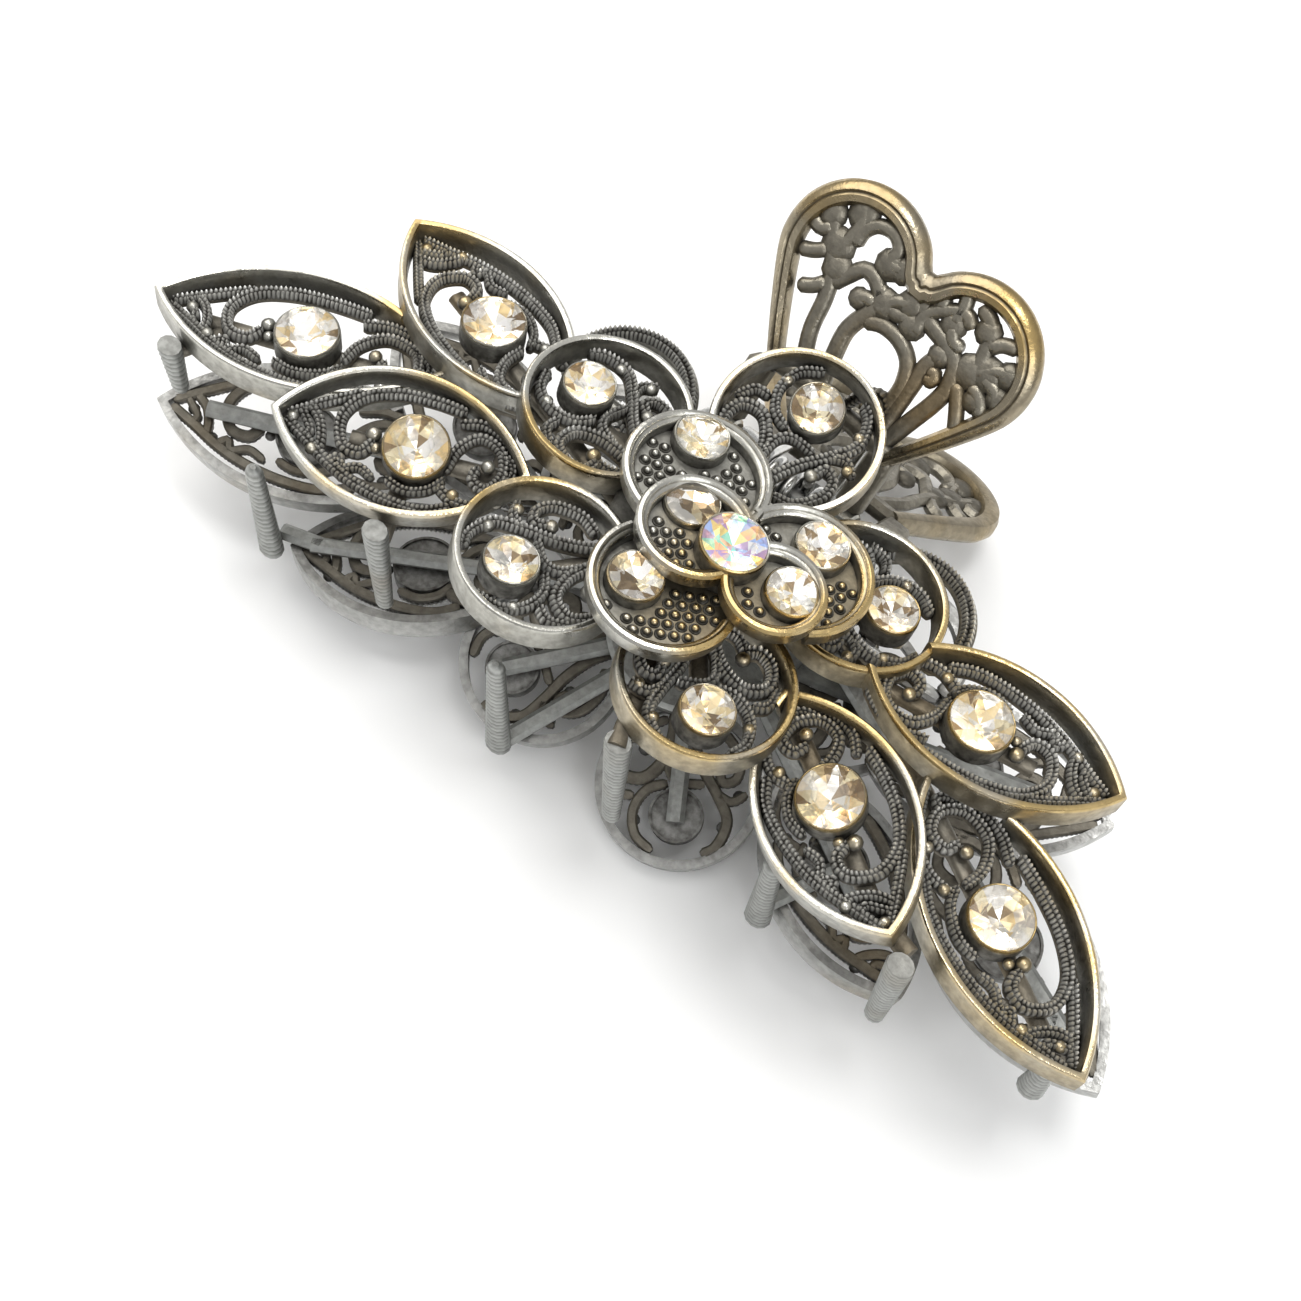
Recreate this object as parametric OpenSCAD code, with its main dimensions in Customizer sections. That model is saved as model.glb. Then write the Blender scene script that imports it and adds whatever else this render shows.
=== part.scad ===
// Sprung hair claw: two cast jaws alike, hinged on a pin, with a jewelled flower on the front one.
// X runs along the hinge pin, +Y points to the thumb handles and the front jaw faces +Z.

/* [Hinge] */
// Radius of the hinge pin
pin_r = 0.9; // [0.7:0.05:1.1]
// Outer radius of the hinge lugs
lug_r = 2.2; // [2:0.1:2.6]
// Width of one hinge lug
lug_w = 2.3; // [2:0.1:2.4]
// Gap around the pin in the lugs that turn on it
run_gap = 0.05; // [0.03:0.01:0.09]
// Diameter of the spring's wire
wire_d = 0.8; // [0.6:0.1:0.9]
// Mean radius of the spring's coil
coil_r = 1.75; // [1.6:0.05:1.9]

/* [Leaves] */
// Half width of a leaf
leaf_half_w = 5.6; // [5:0.1:6]
// Height of the thin wall around leaves and petals
tray_h = 2.2; // [1.8:0.1:2.6]
// Thickness of that wall
wall = 0.7; // [0.5:0.05:1]

/* [Flower] */
// Distance from the flower's middle to the middle of each outer petal
petal_reach = 12.2; // [11:0.1:13]
// Radius of an outer petal
petal_r = 6.5; // [6:0.1:6.9]
// Distance from the flower's middle to each outer petal's stone
petal_stone_reach = 14.6; // [13.5:0.1:15.2]
// How far the petal beside the hinge is bent up, in degrees
hinge_petal_lift = 20; // [10:1:24]
// Radius of a lower rose petal
rose_r = 5.4; // [5:0.1:5.8]
// Distance from the rose's middle to the middle of a lower petal
rose_reach = 5.8; // [5.4:0.1:6.2]

/* [Stones] */
// Diameter of the leaf stones and of the centre stone
big_stone = 4.75; // [4.5:0.05:5]
// Diameter of the petal stones
small_stone = 3.9; // [3.6:0.05:4]

/* [Handles] */
// Lean of the front handle away from the closing plane, in degrees
front_lean = 44; // [42:1:48]
// Lean of the rear handle, in degrees
rear_lean = 38; // [38:1:44]
// Radius of the heart's two lobes
lobe_r = 6; // [5.6:0.1:6.2]
// Thickness of the heart's rim
heart_t = 2; // [1.6:0.1:2.2]

/* [Pose] */
// Twist of the rear jaw about the front's normal, in degrees
rear_skew = 4.5; // [0:0.5:5]
// Tilt that lays the closed clip on a table, in degrees
lay_tilt = 5; // [4:0.5:6]

/* [Hidden] */
SIDES = ["left", "right"];
KINDS = ["end", "upper", "lower"];
$fn = 48;

// Right-hand leaves: middle of the stone, tip, roll in degrees, length behind the stone.
LEAF_STONE = [[33.4, -17.3, 5.9], [23.5, -7.4, 6.9], [19.6, -19.6, 8.6]];
LEAF_TIP = [[44.5, -22.4, 5.6], [34.5, -4.7, 5.9], [29.1, -24.7, 9.4]];
LEAF_ROLL = [-8, -10, 8];
LEAF_BACK = [11.6, 9.4, 8.6];
flower_at = [0, -10.3, 8.3];
flower_turn = [-12.5, 4, 4.5];
// Middles, in the flower's own frame, of the rose, its two upper petals and its stones
rose_at = [2, -2.4, 2.6];
rose_first = 22;
UPPER_AT = [[0.3, -3.8, 4.2], [7.2, -4, 4.2]];
UPPER_R = [4.2, 3.7];
ROSE_STONE = [[7.5, 2.6, 3.6], [-4.2, 4, 3.6], [-0.7, -9, 3.6], [-1.2, -1.9, 4.6], [8.3, -3.2, 5]];
centre_at = [3.1, -3.3, 5.6];

rim_up = 0.4;
floor_t = 0.8;
tray_z = rim_up - tray_h;
rib_w = 1.4;
rib_t = 0.9;
seat_wall = 0.45;
cut = 0.1;
pivot_r = 3.6;
petal_pull = 1.9;
petal_turn = -3;
petal_rise = 0.6;
hub_r = 7;
hub_t = 1.8;
lug_gap = 0.2;
lug_a = -8.4;
lug_b = 3.4;
pin_end = 8.5;
pin_head = 0.9;
tooth_r = 0.95;
tooth_tip_r = 0.6;
// Middle of each tooth, and the height of its root and of its tip
TEETH = [[-40.3, -24.9, 5.2, -1.5], [-17.4, -26.1, 7.6, -5], [6.6, -26.8, 9.6, -6], [30.6, -25.4, 8.6, -5]];
scroll_at = [13.6, -3.6, 3.9];
scroll_r = 5.5;
lobe_x = 5.4;
lobe_u = 22.7 - lobe_r;
bar_u = 7.2;
bar_half = 6;
heart_rim = 1.5;
heart_turn = 3;
heart_shift = -1.2;
heart_raise = 0.2;

function leaf_front(i) = norm(LEAF_TIP[i] - LEAF_STONE[i]);

// ---- flat outlines -------------------------------------------------------------------------
// Pointed oval of two arcs, from x = -back to x = front
module leaf_prism(front, back, half_w, low, high) {
    len = front + back;
    arc_r = (len * len / 4 + half_w * half_w) / (2 * half_w);
    translate([(front - back) / 2, 0, low])
        intersection() {
            translate([0, half_w - arc_r, 0]) cylinder(r = arc_r, h = high - low, $fn = 96);
            translate([0, arc_r - half_w, 0]) cylinder(r = arc_r, h = high - low, $fn = 96);
        }
}

module ring(r_out, r_in, low, high) {
    translate([0, 0, low])
        difference() {
            cylinder(r = r_out, h = high - low);
            translate([0, 0, -1]) cylinder(r = r_in, h = high - low + 2);
        }
}

module bar(from, to, width, low, high) {
    run = to - from;
    translate([from[0], from[1], low])
        rotate([0, 0, atan2(run[1], run[0])])
            translate([0, -width / 2, 0]) cube([norm(run), width, high - low]);
}

// ---- stones --------------------------------------------------------------------------------
// Round brilliant: flat table, crown, girdle and pointed pavilion
module stone(d) {
    r = d / 2;
    rotate_extrude()
        polygon([[0, -0.3 * d], [r, -0.02 * d], [r, 0.03 * d], [0.62 * r, 0.17 * d], [0, 0.17 * d]]);
}

// Cup that holds a stone of diameter d, open at the top and through its floor
module seat(d) {
    difference() {
        translate([0, 0, tray_z]) cylinder(r = d / 2 + seat_wall, h = -tray_z);
        translate([0, 0, tray_z - 1]) cylinder(r = d / 2 + 0.02, h = tray_h + 2);
    }
}

module seat_hole(d) translate([0, 0, tray_z - 1]) cylinder(r = d / 2 + 0.1, h = tray_h + 2);

// ---- placing -------------------------------------------------------------------------------
module lay() rotate([lay_tilt, 0, 0]) children();

// The rear half is the same casting turned over, a little skewed on its hinge
module rear() rotate([0, 180, rear_skew]) children();

module rear_true() rotate([0, 180, 0]) children();

module on_side(side) {
    if (side == "left") mirror([1, 0, 0]) children();
    if (side == "right") children();
}

module in_leaf(i) {
    run = LEAF_TIP[i] - LEAF_STONE[i];
    translate(LEAF_STONE[i])
        rotate([LEAF_ROLL[i], -asin(run[2] / norm(run)), atan2(run[1], run[0])]) children();
}

module in_flower() translate(flower_at) rotate(flower_turn) children();

module in_petal(k) {
    if (k == 0)
        rotate([0, 0, 90 + petal_turn]) translate([pivot_r - petal_pull, 0, 0])
            rotate([0, -hinge_petal_lift, 0]) translate([-pivot_r, 0, petal_rise]) children();
    else
        rotate([0, 0, 90 + 72 * k]) children();
}

// ---- leaves --------------------------------------------------------------------------------
module leaf_tray(i) {
    front = leaf_front(i);
    back = LEAF_BACK[i];
    difference() {
        leaf_prism(front, back, leaf_half_w, tray_z, rim_up);
        difference() {
            leaf_prism(front - 1.6 * wall, back - 1.6 * wall, leaf_half_w - wall, tray_z - 1, rim_up + 1);
            leaf_filigree(front, back, leaf_half_w - wall);
        }
        seat_hole(big_stone);
    }
    seat(big_stone);
}

// Midrib and pairs of curls on the leaf's floor
module leaf_filigree(front, back, half_w) {
    translate([-back, -0.6, tray_z]) cube([front + back, 1.2, floor_t]);
    translate([0, 0, tray_z]) cylinder(r = big_stone / 2 + seat_wall, h = floor_t);
    for (s = [-1, 1]) {
        translate([0.42 * front, s * 1.9, 0]) ring(1.6, 0.9, tray_z, tray_z + floor_t);
        translate([-0.36 * back, s * 2.3, 0]) ring(1.9, 1.1, tray_z, tray_z + floor_t);
        translate([0, s * half_w * 0.77, 0]) ring(1.5, 0.8, tray_z, tray_z + floor_t);
    }
}

// Space of a leaf or of the flower, cut out of what lies under it
module leaf_space(i) in_leaf(i)
    leaf_prism(leaf_front(i) + cut, LEAF_BACK[i] + cut, leaf_half_w + cut, -12, 12);

module flower_space() in_flower()
    for (k = [0:4]) rotate([0, 0, 90 + 72 * k]) translate([petal_reach, 0, -12])
        cylinder(r = petal_r + cut, h = 24);

// Bed of the flower's petals, cut out of the ribs and scrolls that pass under them
module petal_bed() in_flower()
    for (k = [1:4]) in_petal(k) {
        translate([petal_reach, 0, tray_z]) cylinder(r = petal_r, h = 12);
        translate([0, 0, tray_z]) cylinder(r = hub_r, h = 12);
    }

module leaf(i) {
    difference() {
        in_leaf(i) leaf_tray(i);
        flower_space();
        on_side("left") flower_space();
        if (i < 2) leaf_space(2);
        if (i < 1) leaf_space(1);
    }
}

module leaf_stone(i) in_leaf(i) stone(big_stone);

// ---- flower --------------------------------------------------------------------------------
module petal_tray() {
    translate([petal_reach, 0, 0]) ring(petal_r, petal_r - wall, tray_z, rim_up);
    difference() {
        union() {
            translate([petal_reach, 3.4, 0]) ring(2.9, 2, tray_z, tray_z + floor_t);
            translate([petal_reach - 2.2, -2.4, 0]) ring(2.9, 2, tray_z, tray_z + floor_t);
            translate([petal_reach - petal_r + 0.2, -0.6, tray_z]) cube([2 * petal_r - 0.4, 1.2, floor_t]);
            translate([petal_stone_reach, 0, tray_z]) cylinder(r = small_stone / 2 + seat_wall, h = floor_t);
        }
        translate([petal_stone_reach, 0, 0]) seat_hole(small_stone);
    }
    translate([petal_stone_reach, 0, 0]) seat(small_stone);
}

module outer_flower_casting() {
    difference() {
        for (k = [1:4]) in_petal(k) {
            petal_tray();
            if (k == 1) translate([0, 0, tray_z]) cylinder(r = hub_r, h = floor_t);
        }
        rose_rivet_hole(0.8);
    }
}

// Petal beside the hinge, bent up over the handle and standing on a short post
module hinge_petal_casting() {
    difference() {
        in_petal(0) petal_tray();
        rose_petals() translate([0, 0, rose_floor]) cylinder(r = rose_r + 0.05, h = 6);
    }
    rotate([0, 0, 90 + petal_turn]) translate([6, 0, tray_z + floor_t]) cylinder(r = 0.9, h = 1.5);
}

module petal_stone(k) in_petal(k) translate([petal_stone_reach, 0, 0]) stone(small_stone);

// ---- rose ----------------------------------------------------------------------------------
rose_floor = -0.6;
rose_rim = 1.2;
rose_base_z = rose_at[2] + rose_floor;
upper_base_z = UPPER_AT[0][2] + rose_floor;

module rose_rivet_hole(r) translate([rose_at[0], rose_at[1], -6]) cylinder(r = r, h = 8.4);

module rose_petals()
    for (k = [0:2]) translate(rose_at) rotate([0, 0, rose_first + 120 * k])
        translate([rose_reach, 0, 0]) children();

module rose_tray(r) {
    ring(r, r - 0.6, rose_floor, rose_rim);
    translate([0, 0, rose_floor]) cylinder(r = r - 0.3, h = floor_t);
}

// Room for a stone and the collar that holds it
module stone_pocket(at, d) {
    translate(at) translate([0, 0, -0.31 * d]) cylinder(r1 = 0.05, r2 = d / 2 + 0.02, h = 0.28 * d);
    translate(at) translate([0, 0, -0.03 * d]) cylinder(r = d / 2 + 0.02, h = 4);
}

module collar(at, d, low) {
    translate([at[0], at[1], low]) cylinder(r = d / 2 + 0.3, h = at[2] + 0.2 - low);
}

module rose_lower_casting() {
    difference() {
        union() {
            rose_petals() rose_tray(rose_r);
            translate([rose_at[0], rose_at[1], rose_base_z]) cylinder(r = 3.4, h = floor_t);
            translate([rose_at[0], rose_at[1], tray_z + floor_t])
                cylinder(r = 2.4, h = rose_base_z - tray_z - 0.2);
            for (i = [0:2]) collar(ROSE_STONE[i], small_stone, rose_base_z);
        }
        rose_rivet_hole(0.8);
        for (i = [0:2]) stone_pocket(ROSE_STONE[i], small_stone);
        for (i = [0:1]) translate([UPPER_AT[i][0], UPPER_AT[i][1], upper_base_z])
            cylinder(r = UPPER_R[i] + 0.05, h = 6);
        translate([centre_at[0], centre_at[1], rose_base_z + floor_t]) cylinder(r = 2.75, h = 6);
    }
}

module rose_upper_casting() {
    difference() {
        union() {
            for (i = [0:1]) translate(UPPER_AT[i]) rose_tray(UPPER_R[i]);
            translate([centre_at[0], centre_at[1], rose_base_z + floor_t])
                cylinder(r = 2.15, h = centre_at[2] - 0.6 - rose_base_z - floor_t);
            translate([centre_at[0], centre_at[1], centre_at[2] - 0.6]) cylinder(r = 2.65, h = 0.9);
            for (i = [3:4]) collar(ROSE_STONE[i], small_stone, upper_base_z);
        }
        for (i = [3:4]) stone_pocket(ROSE_STONE[i], small_stone);
        stone_pocket(centre_at, big_stone);
        for (i = [0:2]) translate([0, 0, -0.31 * small_stone]) translate(ROSE_STONE[i])
            cylinder(r = small_stone / 2 + 0.35, h = 6);
    }
}

module rose_stone(i) translate(ROSE_STONE[i]) stone(small_stone);

module rose_rivet_solid() {
    translate([rose_at[0], rose_at[1], tray_z - hub_t - 0.7]) {
        cylinder(r = 0.8, h = 6.4);
        cylinder(r = 1.7, h = 0.7);
    }
}

// ---- frame ---------------------------------------------------------------------------------
module lug(x0, r_in) {
    translate([x0, 0, 0])
        rotate([0, 90, 0])
            difference() {
                cylinder(r = lug_r, h = lug_w);
                translate([0, 0, -1]) cylinder(r = r_in, h = lug_w + 2);
            }
}

// Web that ties one lug to the hub under the flower
module lug_web(x0) {
    difference() {
        translate([x0, 0, 0])
            rotate([90, 0, 90])
                linear_extrude(lug_w)
                    polygon([[-10, 3.6], [-10, 5.4], [-4, 4.3], [0.4, 2], [0.4, 0], [-1.8, -0.9], [-5, 2.2]]);
        translate([x0 - 1, 0, 0]) rotate([0, 90, 0]) cylinder(r = lug_r - 0.3, h = lug_w + 2);
    }
}

module tooth(t) {
    translate([t[0], t[1], t[3]]) cylinder(r1 = tooth_tip_r, r2 = tooth_r, h = t[2] - t[3]);
}

// Rib under a leaf's midline, from its tip end towards the hub
module leaf_rib(i, front, reach) {
    in_leaf(i) under_bar([-LEAF_BACK[i] - reach, 0], [front, 0]);
}

module under_bar(from, to) bar(from, to, rib_w, tray_z - rib_t, tray_z);

// Scroll that stands beside a petal at the jaw's upper edge
module scroll() {
    translate(scroll_at)
        difference() {
            ring(scroll_r, scroll_r - 1, -0.8, 0.8);
            translate([-2 * scroll_r, -4 * scroll_r - 2, -2]) cube([4 * scroll_r, 4 * scroll_r, 4]);
        }
    translate(scroll_at) bar([-scroll_r + 0.4, -1.6], [scroll_r - 0.4, -1.6], 1.2, -0.8, 0.8);
}

// Everything cast in one with the jaw's ribs. The ornament may be skewed against the lugs.
module frame_casting(skew, bore_r) {
    rotate([0, 0, skew]) {
        difference() {
            union() {
                in_flower() translate([0, 0, tray_z - hub_t]) cylinder(r = hub_r, h = hub_t);
                in_flower() under_bar([0, 0], [5.3, -17.2]);
                for (k = [1:4]) in_flower() rotate([0, 0, 90 + 72 * k]) under_bar([0, 0], [petal_reach + 3, 0]);
            }
            in_flower() rose_rivet_hole(0.8);
        }
        leaf_rib(0, 8, 16);
        leaf_rib(2, 9, 6.5);
        in_leaf(2) under_bar([8.2, 0], [11.6, 0.9]);
        on_side("left") {
            leaf_rib(0, 8, 16);
            leaf_rib(2, 5, 6.5);
            in_leaf(0) under_bar([6, 0], [9.2, -3.4]);
            in_leaf(2) under_bar([0.3, 0], [0.7, -6.8]);
        }
        difference() {
            for (s = SIDES) on_side(s) {
                scroll();
                leaf_rib(1, 5, 9);
            }
            petal_bed();
        }
        for (t = TEETH) tooth(t);
        for (x0 = [lug_a, lug_b]) lug_web(x0);
    }
    for (x0 = [lug_a, lug_b]) lug(x0, bore_r);
}

// ---- handles -------------------------------------------------------------------------------
tangent_reach = sqrt(pow(lobe_u - bar_u, 2) + pow(lobe_x - bar_half, 2) - lobe_r * lobe_r);
tangent_turn = atan2(lobe_u - bar_u, lobe_x - bar_half) - asin(lobe_r / norm([lobe_u - bar_u, lobe_x - bar_half]));
tangent_at = [bar_half + tangent_reach * cos(tangent_turn), bar_u + tangent_reach * sin(tangent_turn)];

// Solid heart of thickness t, its rim drawn in by inset
module heart_prism(inset, t) {
    translate([0, 0, -t / 2]) {
        for (s = [-1, 1]) translate([s * lobe_x, lobe_u, 0]) cylinder(r = lobe_r - inset, h = t);
        linear_extrude(t)
            polygon([[-bar_half + inset, bar_u + inset], [bar_half - inset, bar_u + inset],
                [tangent_at[0] - inset, tangent_at[1]], [lobe_x, lobe_u + lobe_r / 2 - inset],
                [-lobe_x, lobe_u + lobe_r / 2 - inset], [-tangent_at[0] + inset, tangent_at[1]]]);
    }
}

module heart(side_lugs) {
    translate([heart_shift, heart_raise, 0]) rotate([0, 0, -heart_turn])
        difference() {
            heart_prism(0, heart_t);
            difference() {
                heart_prism(heart_rim, heart_t + 2);
                heart_ribs();
            }
        }
    difference() {
        for (x = side_lugs) translate([x, 1, -0.7]) cube([lug_w, bar_u - 0.4, 1.4]);
        translate([-20, 0, 0]) rotate([0, 90, 0]) cylinder(r = lug_r, h = 40);
    }
}

// Oval ring at the middle, ribs that fan out to the rim, and a curl in each lobe
module heart_ribs() {
    fan = 5;
    translate([0, 11.5, 0]) ring(3.2, 2.4, -0.5, 0.5);
    for (s = [-2:2]) if (s != 0)
        bar([s * 1.6, 10 - abs(s) * 0.6], [s * fan, 20 - abs(s)], 0.9, -0.5, 0.5);
    for (s = [-1, 1]) translate([s * lobe_x, lobe_u + 0.6, 0]) ring(2.6, 1.8, -0.5, 0.5);
    translate([-lobe_x, lobe_u - 1.6, -0.5]) cube([2 * lobe_x, 1, 1]);
    for (s = [-1, 1]) bar([s * 7.4, 17.5], [s * 12, 19], 0.9, -0.5, 0.5);
    bar([0, 7.4], [0, 9], 1.2, -0.5, 0.5);
}

// ---- pin and spring ----------------------------------------------------------------------------
module pin_solid() {
    translate([-pin_end, 0, 0]) rotate([0, 90, 0]) cylinder(r = pin_r, h = 2 * pin_end);
    for (s = [0, 1]) mirror([s, 0, 0]) translate([pin_end, 0, 0])
        rotate([0, 90, 0]) cylinder(r = pin_r + 0.6, h = pin_head);
}

// Round wire swept along points, each with a direction square to the wire
module wire(points, normals, r) {
    sides = 8;
    n = len(points);
    function along(i) = points[min(i + 1, n - 1)] - points[max(i - 1, 0)];
    function side_dir(i) = let (c = cross(along(i), normals[i])) c / norm(c);
    verts = [for (i = [0:n - 1], k = [0:sides - 1])
        points[i] + r * (cos(360 * k / sides) * normals[i] + sin(360 * k / sides) * side_dir(i))];
    walls = [for (i = [0:n - 2], k = [0:sides - 1])
        [i * sides + k, (i + 1) * sides + k, (i + 1) * sides + (k + 1) % sides, i * sides + (k + 1) % sides]];
    start_cap = [for (k = [0:sides - 1]) k];
    end_cap = [for (k = [sides - 1:-1:0]) (n - 1) * sides + k];
    polyhedron(verts, concat(walls, [start_cap, end_cap]));
}

steps_per_turn = 16;
coil_turns = 4;
coil_pitch = wire_d + 0.1;
coil_x0 = -2.6;
last_x = coil_x0 + coil_pitch * coil_turns + wire_d + 0.25;
leg_len = 7.6;
leg_lean = 0.3;
rear_leg_angle = 90 - rear_lean;
front_leg_angle = front_lean - 90;

function around(r, a) = [0, r * cos(a), r * sin(a)];
function coil_angle(i) = rear_leg_angle + 360 * i / steps_per_turn;
function last_angle(i) = front_leg_angle - 330 + 330 * i / steps_per_turn;

// Coil with the leg that lies on the rear handle
module torsion_spring_solid() {
    count = coil_turns * steps_per_turn;
    coil = [for (i = [0:count]) [coil_x0 + coil_pitch * i / steps_per_turn, 0, 0] + around(coil_r, coil_angle(i))];
    normals = [for (i = [0:count]) around(1, coil_angle(i))];
    leg_end = coil[0] + leg_len * around(1, rear_leg_angle - 90) - leg_lean * normals[0] - [0.3, 0, 0];
    wire(concat([leg_end], coil), concat([normals[0]], normals), wire_d / 2);
}

// The spring's last turn with the leg that lies on the front handle, which moves with that handle
module spring_front_leg_solid() {
    turn = [for (i = [0:steps_per_turn])
        [last_x + 0.4 * i / steps_per_turn, 0, 0] + around(coil_r, last_angle(i))];
    normals = [for (i = [0:steps_per_turn]) around(1, last_angle(i))];
    last = steps_per_turn;
    leg_end = turn[last] + leg_len * around(1, front_leg_angle + 90) - leg_lean * normals[last] + [0.3, 0, 0];
    wire(concat(turn, [leg_end]), concat(normals, [normals[last]]), wire_d / 2);
}

// ---- nodes ---------------------------------------------------------------------------------------
front_bore = pin_r + run_gap;

module front_frame() color("silver") lay() frame_casting(0, front_bore);
module front_handle() color("tan") lay() rotate([front_lean, 0, 0]) heart([lug_a, lug_b]);
module outer_flower() color("lightsteelblue") lay() in_flower() outer_flower_casting();
module hinge_petal() color("lightsteelblue") lay() in_flower() hinge_petal_casting();
module rose_lower() color("dimgray") lay() in_flower() rose_lower_casting();
module rose_upper() color("gray") lay() in_flower() rose_upper_casting();
module rose_rivet() color("silver") lay() in_flower() rose_rivet_solid();
module front_leaf(s, i) color("silver") lay() on_side(s) leaf(i);
module front_leaf_stone(s, i) color("lavender") lay() on_side(s) leaf_stone(i);
module stone_petal(k) color("lavender") lay() in_flower() petal_stone(k);
module stone_rose(i) color("lavender") lay() in_flower() rose_stone(i);
module stone_centre() color("paleturquoise") lay() in_flower() translate(centre_at) stone(big_stone);
module spring_front_leg() color("darkgray") lay() spring_front_leg_solid();
module rear_frame() color("silver") lay() rear_true() frame_casting(-rear_skew, pin_r);
module rear_handle() color("tan") lay() rear_true() rotate([rear_lean, 0, 0]) heart([lug_a, lug_b]);
module rear_flower() color("lightsteelblue") lay() rear() in_flower() outer_flower_casting();
module rear_hinge_petal() color("lightsteelblue") lay() rear() in_flower() hinge_petal_casting();
module hinge_pin() color("gray") lay() pin_solid();
module torsion_spring() color("darkgray") lay() torsion_spring_solid();
module rear_leaf(s, i) color("silver") lay() rear() on_side(s) leaf(i);

front_frame();
front_handle();
outer_flower();
hinge_petal();
rose_lower();
rose_upper();
rose_rivet();
for (s = SIDES, i = [0:2]) {
    front_leaf(s, i);
    front_leaf_stone(s, i);
    rear_leaf(s, i);
}
for (i = [1:5]) {
    stone_petal(i - 1);
    stone_rose(i - 1);
}
stone_centre();
spring_front_leg();
rear_frame();
rear_handle();
rear_flower();
rear_hinge_petal();
hinge_pin();
torsion_spring();
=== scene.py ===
"""Looks of the sprung hair claw: filigree castings, faceted stones, spring, floor, light and camera."""
import math
import random
import bmesh
import bpy
from mathutils import Matrix, Vector


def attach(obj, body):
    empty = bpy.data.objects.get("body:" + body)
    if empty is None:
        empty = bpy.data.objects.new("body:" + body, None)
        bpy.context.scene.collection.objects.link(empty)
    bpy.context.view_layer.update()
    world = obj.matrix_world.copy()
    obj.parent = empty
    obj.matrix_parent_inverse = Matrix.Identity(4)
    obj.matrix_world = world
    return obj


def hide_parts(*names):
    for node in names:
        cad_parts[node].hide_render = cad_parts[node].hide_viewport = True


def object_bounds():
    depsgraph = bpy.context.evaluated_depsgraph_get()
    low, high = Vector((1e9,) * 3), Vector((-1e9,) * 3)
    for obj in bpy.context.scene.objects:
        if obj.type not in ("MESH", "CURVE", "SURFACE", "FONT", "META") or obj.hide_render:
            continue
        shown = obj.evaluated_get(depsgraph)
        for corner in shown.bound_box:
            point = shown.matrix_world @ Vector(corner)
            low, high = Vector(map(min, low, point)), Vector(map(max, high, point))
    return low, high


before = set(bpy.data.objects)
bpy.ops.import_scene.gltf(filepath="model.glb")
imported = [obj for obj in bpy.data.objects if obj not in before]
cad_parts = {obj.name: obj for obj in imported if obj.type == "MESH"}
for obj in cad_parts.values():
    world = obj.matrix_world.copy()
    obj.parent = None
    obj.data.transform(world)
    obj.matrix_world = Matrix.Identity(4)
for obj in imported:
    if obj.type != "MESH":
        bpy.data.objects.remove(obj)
cad_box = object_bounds()
SEED = 7
rng = random.Random(SEED)
MM = 0.001
# Places of the materials in METALS, and of the rim's in HANDLE_METALS; the body of a casting has place 0
GROUND_MAT, MATTE_MAT, WIRE_MAT = 1, 2, 3
RIM_MAT = 1

# ---- driving dimensions of the part, in millimetres and degrees ----
# Hinge: pin and lugs, with the lugs' left faces along the pin
PIN_R, LUG_R, LUG_W, LUG_AT = 0.9, 2.2, 2.3, (-8.4, 3.4)
RUN_GAP, PIN_END = 0.05, 8.5
# Trays: half width of a leaf, height and thickness of the wall, and its rim above the stone's girdle
LEAF_HALF_W, TRAY_H, WALL, RIM_UP = 5.6, 2.2, 0.7, 0.4
TRAY_Z = RIM_UP - TRAY_H
FLOOR_T = 0.8
# Stones of leaves and centre, and of petals and rose
BIG, SMALL = 4.75, 3.9
# Leaves, as end, upper and lower: stone, tip, roll about the long axis, and length behind the stone
LEAF_STONE = ((33.4, -17.3, 5.9), (23.5, -7.4, 6.9), (19.6, -19.6, 8.6))
LEAF_TIP = ((44.5, -22.4, 5.6), (34.5, -4.7, 5.9), (29.1, -24.7, 9.4))
LEAF_ROLL = (-8, -10, 8)
LEAF_BACK = (11.6, 9.4, 8.6)
# Flower of five round petals; the first is lifted off the hinge
FLOWER_AT, FLOWER_TURN = (0, -10.3, 8.3), (-12.5, 4, 4.5)
PETAL_REACH, PETAL_R, PETAL_STONE = 12.2, 6.5, 14.6
PETAL_ANGLES = [90 + 72 * k for k in range(5)]
HINGE_LIFT, PIVOT_R, PETAL_PULL, PETAL_TURN, PETAL_RISE = 20, 3.6, 1.9, -3, 0.6
# Rose, in the flower's frame: three lower cups, two upper ones and the centre
ROSE_AT, ROSE_FIRST, ROSE_R, ROSE_REACH = (2, -2.4, 2.6), 22, 5.4, 5.8
ROSE_FLOOR = -0.6
UPPER_AT = ((0.3, -3.8, 4.2), (7.2, -4, 4.2))
UPPER_R = (4.2, 3.7)
ROSE_STONE = ((7.5, 2.6, 3.6), (-4.2, 4, 3.6), (-0.7, -9, 3.6), (-1.2, -1.9, 4.6), (8.3, -3.2, 5))
CENTRE_AT = (3.1, -3.3, 5.6)
# Depth of each rose stone's pavilion, as a share of a full one, to keep it above the petals' floors
ROSE_DEPTH = (0.85, 0.85, 0.85, 0.33, 0.7)
# Frame: ribs, hub, teeth as (x, y, root, tip), and side scrolls
RIB_W, RIB_T, HUB_R, HUB_T = 1.4, 0.9, 7.0, 1.8
TEETH = ((-40.3, -24.9, 5.2, -1.5), (-17.4, -26.1, 7.6, -5), (6.6, -26.8, 9.6, -6), (30.6, -25.4, 8.6, -5))
SCROLL_AT, SCROLL_R = (13.6, -3.6, 3.9), 5.5
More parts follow.
